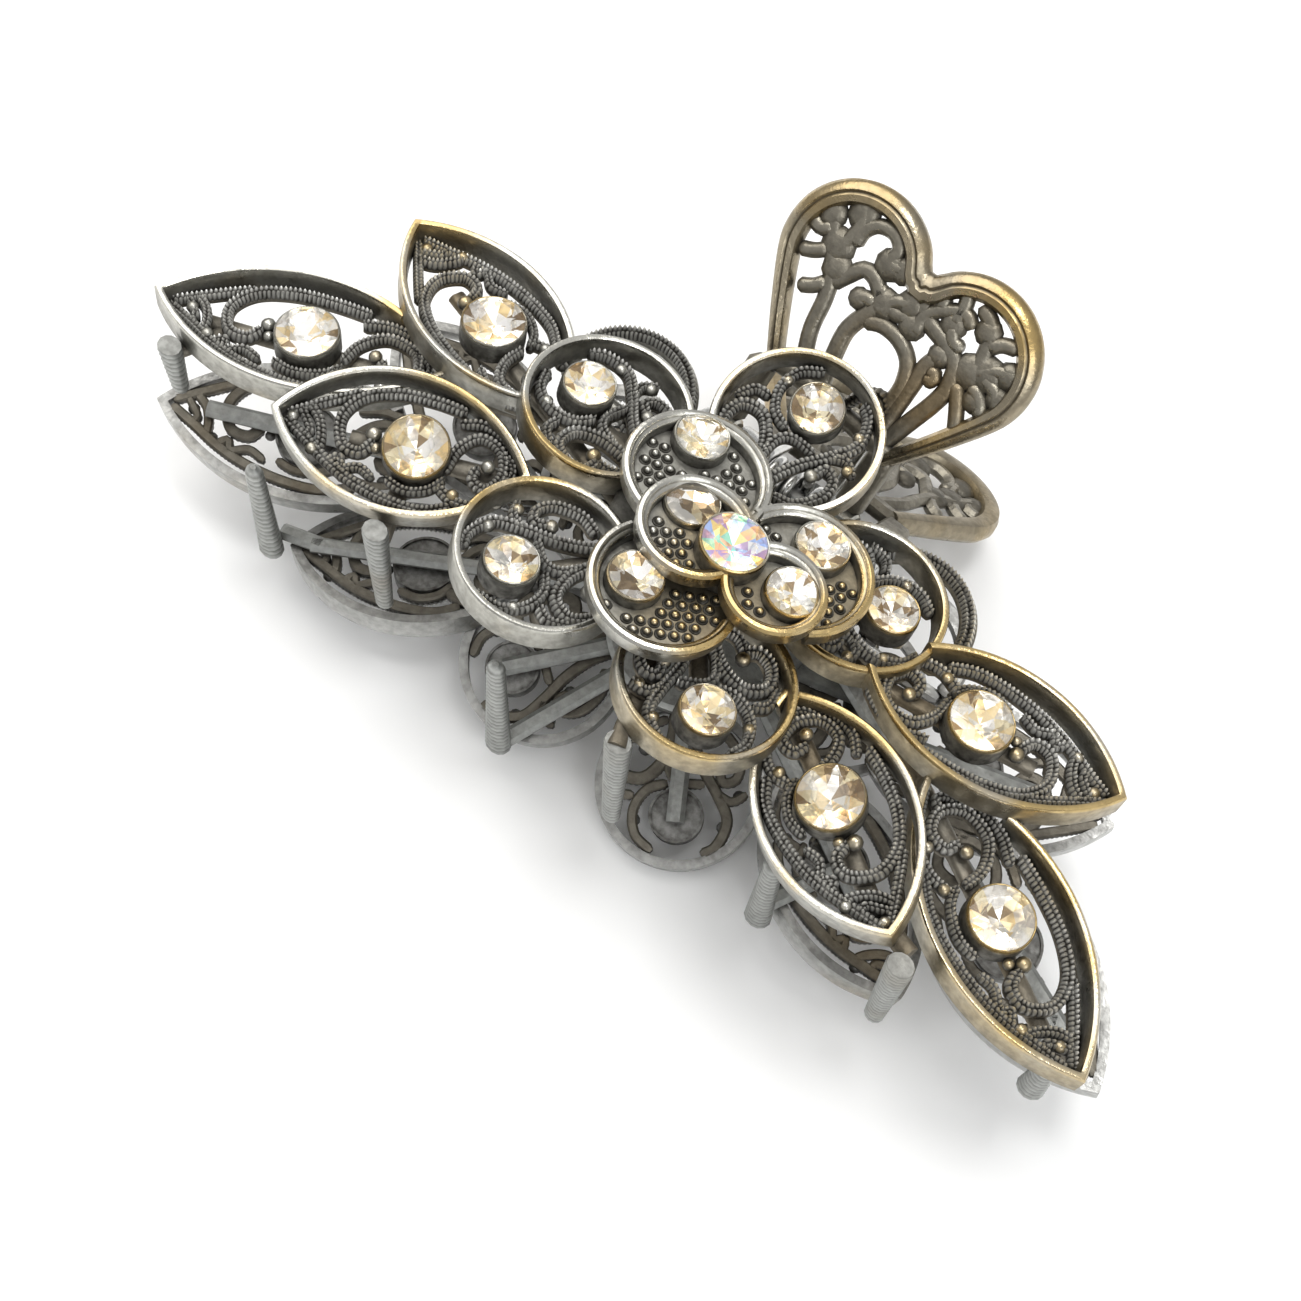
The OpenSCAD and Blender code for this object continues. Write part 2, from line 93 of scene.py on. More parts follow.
# Handles: lean off the jaw, lobes and foot of the heart, and its offset from the hinge's middle
FRONT_LEAN, REAR_LEAN = 44, 38
LOBE_X, LOBE_R, BAR_U, BAR_HALF = 5.4, 6.0, 7.2, 6.0
LOBE_U = 22.7 - LOBE_R
HEART_TURN, HEART_SHIFT, HEART_RAISE = 3, -1.2, 0.2
# Spring: wire, coil and legs
WIRE_D, COIL_R, COIL_TURNS, COIL_X0 = 0.8, 1.75, 4, -2.6
LEG_LEN, LEG_LEAN = 7.6, 0.3
# Skew of the rear jaw's ornament, and tilt of the whole clip as it lies
REAR_SKEW, LAY_TILT = 4.5, 5


# ---- placing ----
def move(x, y=0.0, z=0.0):
    return Matrix.Translation(Vector((x, y, z)))


def turn(x=0.0, y=0.0, z=0.0):
    """Turns about X, then Y, then Z, in degrees."""
    rx, ry, rz = (Matrix.Rotation(math.radians(a), 4, n) for a, n in ((x, "X"), (y, "Y"), (z, "Z")))
    return rz @ ry @ rx


SIDE = {"left": Matrix.Diagonal((-1, 1, 1, 1)), "right": Matrix.Identity(4)}
LAY = turn(LAY_TILT)
FRONT = LAY
REAR_HINGE = LAY @ turn(0, 180, 0)
REAR = LAY @ turn(0, 180, REAR_SKEW)
FLOWER = move(*FLOWER_AT) @ turn(*FLOWER_TURN)


def leaf_front(i):
    return (Vector(LEAF_TIP[i]) - Vector(LEAF_STONE[i])).length


def leaf_place(i):
    run = Vector(LEAF_TIP[i]) - Vector(LEAF_STONE[i])
    pitch = -math.degrees(math.asin(run.z / run.length))
    return move(*LEAF_STONE[i]) @ turn(LEAF_ROLL[i], pitch, math.degrees(math.atan2(run.y, run.x)))


def petal_place(k):
    """Frame of an outer petal's hub: X runs out through the petal."""
    if k == 0:
        return (turn(z=PETAL_ANGLES[0] + PETAL_TURN) @ move(PIVOT_R - PETAL_PULL) @ turn(y=-HINGE_LIFT)
                @ move(-PIVOT_R, 0, PETAL_RISE))
    return turn(z=PETAL_ANGLES[k])


# ---- shapes ----
class Shape:
    """Closed shells gathered in millimetres, with a polish value for each vertex and, for each face, a value
    that picks a stone facet's painted reflection colour.
    """

    def __init__(self):
        self.verts, self.polish, self.faces, self.mats, self.facet_reflections = [], [], [], [], []

    def add(self, verts, faces, polish, place=None, mat=0, facet_reflections=None):
        base = len(self.verts)
        for v in verts:
            self.verts.append(place @ Vector(v) if place is not None else Vector(v))
        self.polish += list(polish) if hasattr(polish, "__len__") else [polish] * len(verts)
        for n, f in enumerate(faces):
            self.faces.append([base + i for i in f])
            self.mats.append(mat)
            self.facet_reflections.append(facet_reflections[n] if facet_reflections else 0.5)


def grid_faces(rows, width, close_rows):
    """Quads of a grid of rows of vertices, each row a ring."""
    out = []
    for r in range(rows if close_rows else rows - 1):
        for c in range(width):
            a, b = r * width, ((r + 1) % rows) * width
            d = (c + 1) % width
            out.append([a + c, a + d, b + d, b + c])
    return out


def loft(shape, rings, polish, closed, place=None, mat=0):
    """Skins rings of equal length; closed joins the last ring to the first, else both ends are capped."""
    width = len(rings[0])
    verts = [v for ring in rings for v in ring]
    faces = grid_faces(len(rings), width, closed)
    if not closed:
        faces += [list(range(width))[::-1], list(range(len(verts) - width, len(verts)))]
    shape.add(verts, faces, [p for row in polish for p in row], place, mat)


def circle(r, count):
    """Points round a circle, as (x, y)."""
    return [(r * math.cos(a), r * math.sin(a)) for a in [2 * math.pi * k / count for k in range(count)]]


def arc_length(points):
    return sum((b - a).length for a, b in zip(points, points[1:]))


def resample(points, step):
    """Points at even spacing along a line of points."""
    total = arc_length(points)
    count = max(2, int(round(total / step)))
    out, need, done, i = [points[0]], total / count, 0.0, 0
    target = need
    while len(out) < count and i < len(points) - 1:
        seg = (points[i + 1] - points[i]).length
        if done + seg >= target - 1e-9:
            out.append(points[i].lerp(points[i + 1], (target - done) / max(seg, 1e-9)))
            target += need
        else:
            done += seg
            i += 1
    return out + [points[-1]]


def spline(control, step=0.2):
    """Smooth line through control points, which may be flat or have three coordinates."""
    pts = [Vector(p).to_3d() if len(p) == 3 else Vector((p[0], p[1], 0)) for p in control]
    ext = [2 * pts[0] - pts[1]] + pts + [2 * pts[-1] - pts[-2]]
    fine = []
    for a, b, c, d in zip(ext, ext[1:], ext[2:], ext[3:]):
        for n in range(16):
            t = n / 16
            fine.append(0.5 * ((2 * b) + (c - a) * t + (2 * a - 5 * b + 4 * c - d) * t * t
                               + (3 * b - a - 3 * c + d) * t ** 3))
    fine.append(pts[-1])
    return resample(fine, step)


def runs(points, keep=None):
    """Stretches of consecutive points that are kept."""
    out, now = [], []
    for p in points:
        if keep is None or keep(p):
            now.append(p)
        else:
            if len(now) > 2:
                out.append(now)
            now = []
    if len(now) > 2:
        out.append(now)
    return out


UP = Vector((0, 0, 1))


def even(value):
    """The same polish all over a sweep."""
    return lambda j, sec: [value] * len(sec)


def sweep(shape, points, section, place=None, up=UP, scale=None, polish=None, closed=False, mat=0):
    """Carries a closed section of (side, height) points along a line; scale and polish go by station."""
    n = len(points)
    rings, values = [], []
    for j, p in enumerate(points):
        if closed:
            along = points[(j + 1) % n] - points[j - 1]
        else:
            along = points[min(j + 1, n - 1)] - points[max(j - 1, 0)]
        side = up.cross(along).normalized()
        sec = scale(j, n, section) if scale else section
        rings.append([p + side * s + up * h for s, h in sec])
        values.append(polish(j, sec) if polish else [1.0] * len(sec))
    loft(shape, rings, values, closed, place, mat)


def rounded_bar(width, low, high, bevel=0.25):
    w, b = width / 2, min(bevel, width / 3)
    c = 0.4 * b
    return [(-w, low + b), (-w + b, low), (w - b, low), (w, low + b), (w, high - b), (w - c, high - c),
            (w - b, high), (-w + b, high), (-w + c, high - c), (-w, high - b)]


def bar(shape, points, width, low, high, place=None, bevel=0.25, polish=0.6, mat=0):
    """Plain cast bar along a line of points, its ends drawn in a little."""
    section = rounded_bar(width, low, high, bevel)

    def ends(j, n, sec):
        k = 0.6 if j in (0, n - 1) else 1.0
        mid = (low + high) / 2
        return [(s * k, mid + (h - mid) * k) for s, h in sec]

    sweep(shape, points, section, place, scale=ends, polish=even(polish), mat=mat)


# Bead pitch, the height of four stations along a bead, and the depth of the groove between the two rows
MILL_PITCH = 0.36
MILL_RIDGE = (0.0, 0.62, 1.0, 0.62)
MILL_GROOVE = 0.42


def milled(shape, control, width, low, high, place=None, keep=None, mat=WIRE_MAT):
    """Milled wire: a flat band with two rows of fine beads side by side, dark between them."""
    points = spline(control, MILL_PITCH / 4)
    w, rise = 0.45 * width, high - low
    shoulder = low + 0.45 * rise
    section = [(-w, low), (w, low), (w, shoulder), (0.55 * w, high), (0.0, high - MILL_GROOVE * rise),
               (-0.55 * w, high), (-w, shoulder)]

    def ridge(j, n, sec):
        thin = min(1.0, 0.45 + j / 6, 0.45 + (n - 1 - j) / 6)
        out = []
        for a, h in sec:
            s = MILL_RIDGE[(j if a > 0 else j + 2) % 4]
            out.append((a * thin * (0.84 + 0.16 * s), h - 0.4 * rise * (1 - s) if h == high else h))
        return out

    def shine(j, sec):
        near, far = MILL_RIDGE[j % 4], MILL_RIDGE[(j + 2) % 4]
        return [0, 0, 0.45 * near, near ** 1.2, 0.05, far ** 1.2, 0.45 * far]

    for run in runs(points, keep):
        sweep(shape, run, section, place, scale=ridge, polish=shine, mat=mat)


def tube(shape, points, r, place, up=UP, polish=1.0, closed=False, sides=10):
    sweep(shape, points, circle(r, sides), place, up, polish=even(polish), closed=closed)


def lathe(shape, profile, place=None, count=48, mat=0, keep=None):
    """Turns a closed profile of (radius, height, polish) about Z. keep drops the stations that it refuses."""
    stations = [[Vector((r * x, r * y, z)) for r, z, _ in profile] for x, y in circle(1, count)]
    drop_stations(shape, stations, [p for _, _, p in profile], keep, place, mat)


def drop_stations(shape, stations, shine, keep, place, mat=0):
    """Skins a ring of stations, leaving out the ones that keep refuses."""
    kept = [keep is None or keep(s[0]) for s in stations]
    if all(kept):
        loft(shape, stations, [shine] * len(stations), True, place, mat)
        return
    start, run = kept.index(False), []
    for step in range(len(kept) + 1):
        j = (start + step) % len(kept)
        if kept[j]:
            run.append(stations[j])
        elif run:
            if len(run) > 1:
                loft(shape, run, [shine] * len(run), False, place, mat)
            run = []


def disc(shape, r, low, high, place=None, bevel=0.2, polish=0.5, count=40):
    """Flat round plate with softened edges."""
    profile = [(r - bevel, low), (r, low + bevel), (r, high - bevel), (r - bevel, high)]
    rings = [[Vector((x, y, z)) for x, y in circle(q, count)] for q, z in profile]
    loft(shape, rings, [[polish] * count] * len(rings), False, place)


def ball(shape, at, r, place=None, polish=(0.1, 1.0), flat=1.0):
    """Small cast ball, polished on its crown."""
    rows, sides = 6, 10
    verts, values = [Vector(at) + Vector((0, 0, -r * flat))], [polish[0]]
    for i in range(1, rows):
        a = math.pi * i / rows - math.pi / 2
        q = r * math.cos(a)
        for x, y in circle(1, sides):
            verts.append(Vector(at) + Vector((q * x, q * y, r * flat * math.sin(a))))
            values.append(polish[0] + (polish[1] - polish[0]) * max(0, math.sin(a)) ** 0.7)
    verts.append(Vector(at) + Vector((0, 0, r * flat)))
    values.append(polish[1])
    faces = [[0, 1 + (k + 1) % sides, 1 + k] for k in range(sides)]
    faces += [[1 + v for v in f] for f in grid_faces(rows - 1, sides, False)]
    top, last = len(verts) - 1, 1 + (rows - 2) * sides
    faces += [[last + k, last + (k + 1) % sides, top] for k in range(sides)]
    shape.add(verts, faces, values, place)


def plate(shape, outline, low, high, place=None, polish=0.5, mat=0):
    """Flat plate of any outline."""
    n = len(outline)
    verts = [Vector((x, y, z)) for z in (low, high) for x, y in outline]
    faces = [list(range(n))[::-1], list(range(n, 2 * n))] + grid_faces(2, n, False)
    shape.add(verts, faces, polish, place, mat)


# ---- pieces ----
def piece(name, shape, body, replaced, materials, angle=38):
    """Makes the mesh object, puts it on its body and lets it stand for its CAD nodes."""
    mesh = bpy.data.meshes.new(name)
    mesh.from_pydata([v * MM for v in shape.verts], [], shape.faces)
    for m in materials:
        mesh.materials.append(m)
    mesh.polygons.foreach_set("material_index", shape.mats)
    mesh.attributes.new("polish", "FLOAT", "POINT").data.foreach_set("value", shape.polish)
    mesh.attributes.new("facet_reflection", "FLOAT", "FACE").data.foreach_set("value", shape.facet_reflections)
    bm = bmesh.new()
    bm.from_mesh(mesh)
    bmesh.ops.recalc_face_normals(bm, faces=bm.faces)
    bm.to_mesh(mesh)
    bm.free()
    mesh.polygons.foreach_set("use_smooth", [angle > 0] * len(mesh.polygons))
    if angle > 0:
        mesh.set_sharp_from_angle(angle=math.radians(angle))
    mesh.update()
    obj = bpy.data.objects.new(name, mesh)
    bpy.context.scene.collection.objects.link(obj)
    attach(obj, body)
    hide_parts(*replaced)


# ---- materials ----
class Nodes:
    """A material's node tree with short ways to add to it."""

    def __init__(self, name):
        self.mat = bpy.data.materials.new(name)
        self.mat.use_nodes = True
        self.tree = self.mat.node_tree
        self.tree.nodes.clear()
        self.bsdf = self.node("ShaderNodeBsdfPrincipled")
        self.link(self.bsdf.outputs[0], self.node("ShaderNodeOutputMaterial").inputs[0])

    def node(self, kind, **settings):
        n = self.tree.nodes.new(kind)
        for k, v in settings.items():
            setattr(n, k, v)
        return n

    def link(self, a, b):
        self.tree.links.new(a, b)

    def noise(self, scale, detail):
        n = self.node("ShaderNodeTexNoise")
        n.inputs["Scale"].default_value = scale
        n.inputs["Detail"].default_value = detail
        n.inputs["Roughness"].default_value = 0.55
        self.link(self.node("ShaderNodeTexCoord").outputs["Object"], n.inputs["Vector"])
        return n.outputs[0]

    def attribute(self, name):
        return self.node("ShaderNodeAttribute", attribute_name=name).outputs["Fac"]

    def math(self, op, a, b=0.0, clamp=False):
        n = self.node("ShaderNodeMath", operation=op, use_clamp=clamp)
        for socket, value in zip(n.inputs, (a, b)):
            if isinstance(value, (int, float)):
                socket.default_value = value
            else:
                self.link(value, socket)
        return n.outputs[0]

    def span(self, value, a, b, c, d):
        """value from a..b is mapped to c..d and held there."""
        n = self.node("ShaderNodeMapRange")
        self.link(value, n.inputs["Value"])
        for key, number in zip(("From Min", "From Max", "To Min", "To Max"), (a, b, c, d)):
            n.inputs[key].default_value = number
        return n.outputs[0]

    def steps(self, value, stops):
        """One flat colour from each stop to the next."""
        n = self.node("ShaderNodeValToRGB")
        n.color_ramp.interpolation = "CONSTANT"
        while len(n.color_ramp.elements) < len(stops):
            n.color_ramp.elements.new(0.5)
        for e, (at, colour) in zip(n.color_ramp.elements, stops):
            e.position, e.color = at, (*colour, 1)
        self.link(value, n.inputs[0])
        return n.outputs[0]

    def mix(self, factor, a, b):
        n = self.node("ShaderNodeMix", data_type="RGBA")
        self.link(factor, n.inputs[0])
        for socket, value in zip((n.inputs[6], n.inputs[7]), (a, b)):
            if isinstance(value, tuple):
                socket.default_value = (*value, 1)
            else:
                self.link(value, socket)
        return n.outputs[2]

    def bump(self, height, strength, distance):
        n = self.node("ShaderNodeBump")
        n.inputs["Strength"].default_value = strength
        n.inputs["Distance"].default_value = distance
        self.link(height, n.inputs["Height"])
        self.link(n.outputs[0], self.bsdf.inputs["Normal"])


# Noise scales of the plating's specks, the patches of painted warm reflection, wear and cast grain; the
# grain's depth in metres
SPECKS, WARM_REFLECTION_PATCHES, WEAR, GRAIN, GRAIN_DEPTH = 1500, 75, 420, 2600, 0.00006
# Softness of the edge of each patch of painted warm reflection
WARM_REFLECTION_EDGE = 0.13


def cast_metal(name, bright, dark, warm_reflection, warm_reflection_from, rough, patina_and_shade_reach=0.0011, floor_shade=0.0, metal=1.0,
               grain=0.5):
    """Plated casting: polished where it is high, dark in its recesses and where pieces touch, partly patina
    and partly painted shade, with patches of painted warm reflection.
    """
    m = Nodes(name)
    # An occlusion node darkens recesses and the contacts between pieces: partly the casting's patina, partly
    # painted shade
    ao = m.node("ShaderNodeAmbientOcclusion", samples=6)
    ao.inputs["Distance"].default_value = patina_and_shade_reach
    clear_of_patina_and_shade = m.span(ao.outputs["AO"], 0.1, 0.75, 0.0, 1.0)
    polish = m.span(m.attribute("polish"), 0.0, 1.0, floor_shade, 1.0)
    speckle = m.span(m.noise(SPECKS, 4), 0.35, 0.65, -0.12, 0.12)
    value = m.math("ADD", m.math("MULTIPLY", clear_of_patina_and_shade, polish), speckle, clamp=True)
    # Warm colour in patches on the polished high places: a painted reflection of warm light
    warm_reflection_patches = m.span(m.noise(WARM_REFLECTION_PATCHES, 2), warm_reflection_from, warm_reflection_from + WARM_REFLECTION_EDGE, 0.0, 1.0)
    warm_reflection_mask = m.math("MULTIPLY", warm_reflection_patches, polish, clamp=True)
    tone = m.mix(warm_reflection_mask, bright, warm_reflection)
    m.link(m.mix(value, dark, tone), m.bsdf.inputs["Base Color"])
    m.link(m.span(value, 0.0, 0.6, 0.5 * metal, metal), m.bsdf.inputs["Metallic"])
    wear = m.span(m.noise(WEAR, 3), 0.3, 0.7, -0.08, 0.1)
    m.link(m.math("ADD", m.span(value, 0.0, 1.0, 0.6, rough), wear, clamp=True), m.bsdf.inputs["Roughness"])
    m.bump(m.noise(GRAIN, 3), grain, GRAIN_DEPTH)
    return m.mat


# bright colour, dark colour of patina and painted shade, colour of the painted warm reflection and where it
# starts in its noise, and roughness
SILVER = cast_metal("antique_silver", (0.54, 0.53, 0.48), (0.026, 0.023, 0.017), (0.55, 0.41, 0.19), 0.47,
                    0.22, patina_and_shade_reach=0.0005, floor_shade=0.03)
GROUND = cast_metal("antique_silver_ground", (0.24, 0.22, 0.18), (0.030, 0.026, 0.019), (0.22, 0.17, 0.10),
                    0.52, 0.45, floor_shade=0.3, metal=0.8, grain=1.0)
WIRE = cast_metal("antique_silver_wire", (0.92, 0.91, 0.86), (0.022, 0.019, 0.014), (0.78, 0.66, 0.42),
                  0.52, 0.26, patina_and_shade_reach=0.0003, metal=0.75)
MATTE = cast_metal("matte_silver", (0.46, 0.47, 0.45), (0.045, 0.041, 0.033), (0.36, 0.33, 0.27), 0.55, 0.40,
                   patina_and_shade_reach=0.0020, floor_shade=0.2, metal=0.8, grain=0.9)
BRONZED = cast_metal("bronzed_rim", (0.33, 0.285, 0.205), (0.035, 0.03, 0.02), (0.46, 0.33, 0.14), 0.43, 0.24,
                     patina_and_shade_reach=0.0016, floor_shade=0.35, grain=0.6)
BROWN_GREY = cast_metal("brown_grey", (0.25, 0.23, 0.185), (0.020, 0.017, 0.012), (0.25, 0.185, 0.10), 0.50,
                        0.28, patina_and_shade_reach=0.0022, floor_shade=0.2, metal=0.85, grain=1.0)
STEEL = cast_metal("spring_wire", (0.60, 0.60, 0.58), (0.07, 0.065, 0.06), (0.54, 0.52, 0.46), 0.6, 0.22,
                   patina_and_shade_reach=0.0008, floor_shade=0.6, grain=0.15)
PLAIN = cast_metal("plain_silver", (0.62, 0.62, 0.60), (0.040, 0.036, 0.028), (0.46, 0.40, 0.29), 0.56, 0.24,
                   patina_and_shade_reach=0.0022, floor_shade=0.2, metal=0.95, grain=0.9)
METALS = [SILVER, GROUND, MATTE, WIRE]
REAR_METALS = [PLAIN, GROUND, MATTE, WIRE]
REAR_FRAME_METALS = [PLAIN, MATTE, MATTE, WIRE]
HANDLE_METALS = [BROWN_GREY, BRONZED]
STEELS = [STEEL]


def crystal(name, colour):
    m = Nodes(name)
    smear = m.span(m.noise(900, 2), 0.3, 0.7, 0.0, 0.03)
    m.link(smear, m.bsdf.inputs["Roughness"])
    m.link(m.mix(m.noise(300, 1), colour, tuple(c * 0.97 for c in colour)), m.bsdf.inputs["Base Color"])
    m.bsdf.inputs["Transmission Weight"].default_value = 1.0
    m.bsdf.inputs["IOR"].default_value = 1.56
    return m.mat


# Foil under a stone: each facet gets one flat colour from the stops as a painted reflection, and a faint
# emission paints a glow
def painted_reflection_foil(name, stops, glow):
    m = Nodes(name)
    tone = m.steps(m.attribute("facet_reflection"), stops)
    m.link(tone, m.bsdf.inputs["Base Color"])
    m.link(tone, m.bsdf.inputs["Emission Color"])
    m.bsdf.inputs["Emission Strength"].default_value = glow
    m.bsdf.inputs["Metallic"].default_value = 1.0
    m.link(m.span(m.noise(1200, 2), 0.3, 0.7, 0.05, 0.2), m.bsdf.inputs["Roughness"])
    return m.mat


GLASS = crystal("crystal_glass", (1.0, 0.985, 0.95))
# Champagne stops: the foil's champagne tone with painted reflections of the facets, white and gold highlights
# and dark brown darks
PAINTED_FOIL = painted_reflection_foil("champagne_foil_painted_reflections", (
    (0.0, (0.97, 0.96, 0.93)), (0.30, (0.90, 0.74, 0.46)), (0.50, (0.98, 0.97, 0.96)),
    (0.68, (0.34, 0.25, 0.15)), (0.86, (0.95, 0.86, 0.62))), 0.3)
# Rainbow stops: the coated stone's play of colour, painted as reflections of the facets
PAINTED_AB_FOIL = painted_reflection_foil("rainbow_foil_painted_reflections", (
    (0.0, (0.55, 0.42, 0.62)), (0.16, (0.42, 0.85, 0.66)), (0.32, (0.95, 0.78, 0.30)),
    (0.48, (0.48, 0.60, 0.90)), (0.64, (0.90, 0.88, 0.45)), (0.80, (0.92, 0.62, 0.42)),
    (0.92, (0.86, 0.86, 0.90))), 0.45)
CLEAR, RAINBOW = [GLASS, PAINTED_FOIL], [GLASS, PAINTED_AB_FOIL]

# ---- what lies over what ----
# How far a wall runs on under what covers it, in millimetres; a low leaf runs on further under the raised one
HIDE = 0.85
HIDE_LOW = 2.6


def in_round_petals(q):
    """Whether a point in the flower's frame is inside an outer petal, seen along the flower's axis."""
    return any(math.hypot(q.x - PETAL_REACH * math.cos(a), q.y - PETAL_REACH * math.sin(a)) < PETAL_R - HIDE
               for a in map(math.radians, PETAL_ANGLES))


def side_radius(length):
    """Radius of the two arcs that bound a leaf of a given length."""
    return (length * length / 4 + LEAF_HALF_W ** 2) / (2 * LEAF_HALF_W)


def in_leaf_outline(q, i, hide):
    """Whether a point in a leaf's frame is inside that leaf by more than hide, seen along its own axis."""
    front, back = leaf_front(i), LEAF_BACK[i]
    arc = side_radius(front + back)
    x, y = q.x - (front - back) / 2, abs(q.y)
    return math.hypot(x, y + arc - LEAF_HALF_W) < arc - hide


def leaf_matrix(jaw, side, i):
    return jaw @ SIDE[side] @ leaf_place(i)


def leaf_keep(jaw, side, i):
    """Keeps the points of a leaf that no petal and no other leaf covers."""
    here = leaf_matrix(jaw, side, i)
    to_flower = (jaw @ FLOWER).inverted() @ here
    over = [(leaf_matrix(jaw, side, j).inverted() @ here, j, HIDE_LOW if (i, j) == (0, 2) else HIDE)
            for j in (1, 2) if j > i]

    def keep(p):
        if in_round_petals(to_flower @ p):
            return False
        return not any(in_leaf_outline(m @ p, j, hide) for m, j, hide in over)
    return keep


# ---- stones and their seats ----
def stone(shape, d, place, deep):
    """Round brilliant: glass crown of table, star, kite and girdle facets over a foiled pavilion, each
    pavilion facet with a painted reflection colour.
    """
    r = d / 2
    rings = ((0.58 * r, 0.17 * d, 8, 0.0), (0.82 * r, 0.10 * d, 8, 0.5), (r, 0.03 * d, 16, 0.0),
             (r, -0.02 * d, 16, 0.0), (0.45 * r, -0.19 * d * deep, 8, 0.0))
    verts, start = [], []
    for radius, z, n, shift in rings:
        start.append(len(verts))
        for k in range(n):
            a = 2 * math.pi * (k + shift) / n
            verts.append(Vector((radius * math.cos(a), radius * math.sin(a), z)))
    culet = len(verts)
    verts.append(Vector((0, 0, -0.3 * d * deep)))
    t, m, g, b, p = start
    crown = [[t + k for k in range(8)]]
    pavilion = []
    for k in range(8):
        n, s = (k + 1) % 8, (k - 1) % 8
        crown.append([t + k, t + n, m + k])
        crown.append([t + k, m + k, g + 2 * k, m + s])
        crown.append([m + k, g + 2 * k, g + 2 * k + 1])
        crown.append([m + k, g + 2 * k + 1, g + (2 * k + 2) % 16])
        pavilion.append([b + 2 * k, b + 2 * k + 1, p + k])
        pavilion.append([b + 2 * k + 1, b + (2 * k + 2) % 16, p + n])
        pavilion.append([b + 2 * k + 1, p + n, p + k])
        pavilion.append([p + k, p + n, culet])
    for k in range(16):
        n = (k + 1) % 16
        crown.append([g + k, g + n, b + n, b + k])
    shape.add(verts, crown, 1.0, place, 0, [0.5] * len(crown))
    base = len(shape.verts) - len(verts)
    for f in pavilion:
        shape.faces.append([base + i for i in f])
        shape.mats.append(1)
        # Each pavilion facet picks its painted reflection colour at random
        shape.facet_reflections.append(rng.random())


def seat(shape, d, place, low=TRAY_Z, wall=0.17, up=0.14):
    """Thin cup round a stone, its lip turned in over the girdle."""
    r = d / 2
    lathe(shape, [(r + wall, low, 0.0), (r + wall, up - 0.45, 0.25), (r + 0.7 * wall, up - 0.08, 1.0),
                  (r + 0.25 * wall, up, 1.0), (r - 0.08, up - 0.08, 0.9), (r - 0.02, up - 0.3, 0.2),
                  (r - 0.02, low, 0.0)], place, 36)


def blank_seat(shape, d, place):
    """Cast button that closes a seat without a stone."""
    r = d / 2
    seat(shape, d, place)
    lathe(shape, [(0.02, TRAY_Z + 0.2, 0.2), (r, TRAY_Z + 0.2, 0.1), (r, -0.25, 0.4), (0.8 * r, 0.12, 0.9),
                  (0.4 * r, 0.32, 1.0), (0.02, 0.38, 1.0)], place, 24)


# ---- leaves ----
def leaf_outline(front, back, inset, count):
    """Stations round the pointed oval, from the back tip along +Y to the front tip and back along -Y."""
    arc = side_radius(front + back)
    r, cx = arc - inset, (front - back) / 2
    phi = math.acos((arc - LEAF_HALF_W) / r)
    out = []
    for s in (1, -1):
        for k in range(count):
            a = s * (-phi + 2 * phi * k / count)
            out.append((cx + r * math.sin(a), s * (r * math.cos(a) - (arc - LEAF_HALF_W))))
    return out


# (inset, height, polish) round the section of a tray's wall
WALL_SECTION = (
    (0.0, TRAY_Z, 0.45), (0.0, 0.08, 0.7), (0.02, 0.30, 0.95), (0.13, 0.43, 1.0), (0.34, 0.46, 1.0),
    (0.52, 0.37, 0.95), (0.60, 0.14, 0.75), (0.62, -0.3, 0.6), (WALL, TRAY_Z, 0.3))

# Milled scrolls of a leaf's floor as (line, width), drawn for a leaf of these two lengths from its stone
DRAWN_FRONT, DRAWN_BACK = 11.6, 10
LEAF_SCROLLS = (
    (((-3.2, 3.9), (-0.5, 4.1), (2.4, 3.95), (5.0, 3.0), (6.3, 1.1), (5.7, -0.9), (4.2, -1.2), (3.4, -0.1)),
     1.0),
    (((10.4, -0.2), (8.4, -1.3), (6.4, -2.5), (4.0, -3.5), (1.0, -4.15), (-1.8, -4.2), (-4.0, -3.4)), 0.95),
    (((10.4, 0.3), (8.6, 1.4), (6.7, 2.5), (5.2, 3.3)), 0.9),
    (((8.8, 1.2), (7.9, 0.4), (7.4, -0.8), (7.3, -1.9)), 0.85),
    (((-2.7, -1.0), (-3.3, 1.0), (-4.9, 2.3), (-6.9, 1.7), (-7.5, -0.1), (-6.5, -1.4), (-5.2, -1.0),
      (-5.3, 0.1)), 0.95),
    (((-2.5, -2.1), (-4.2, -2.9), (-6.2, -2.7), (-8.0, -1.4), (-9.4, -0.1)), 0.9),
    (((-2.9, 2.9), (-4.8, 3.3), (-6.8, 2.7), (-8.6, 1.3)), 0.9),
    (((1.7, -2.6), (0.0, -3.1), (-1.8, -2.6), (-2.9, -1.5)), 0.8),
    (((6.4, -2.5), (5.6, -1.9), (5.2, -2.7), (3.9, -2.3), (2.6, -2.9)), 0.8),
    (((9.4, 0.8), (8.8, 0.1), (8.3, -0.6), (8.6, -1.1)), 0.75),
    (((-6.9, 1.7), (-8.1, 0.9), (-8.3, 0.0), (-7.5, -0.1)), 0.75))
# Small cast balls where scrolls end, as (x, y, radius)
LEAF_KNOBS = ((3.3, 0.4, 0.62), (2.9, -0.6, 0.45), (-5.3, 0.3, 0.55), (7.3, -1.9, 0.5), (-3.4, -2.5, 0.5),
              (9.3, 0.1, 0.5), (-6.6, -2.2, 0.5))
LEAF_STATIONS = 64
# A milled wire's underside and top; its cast ground is this much narrower than the wire's band
MILL_LOW, MILL_TOP = TRAY_Z + 0.45, TRAY_Z + 1.3
GROUND_NARROWER = 0.1


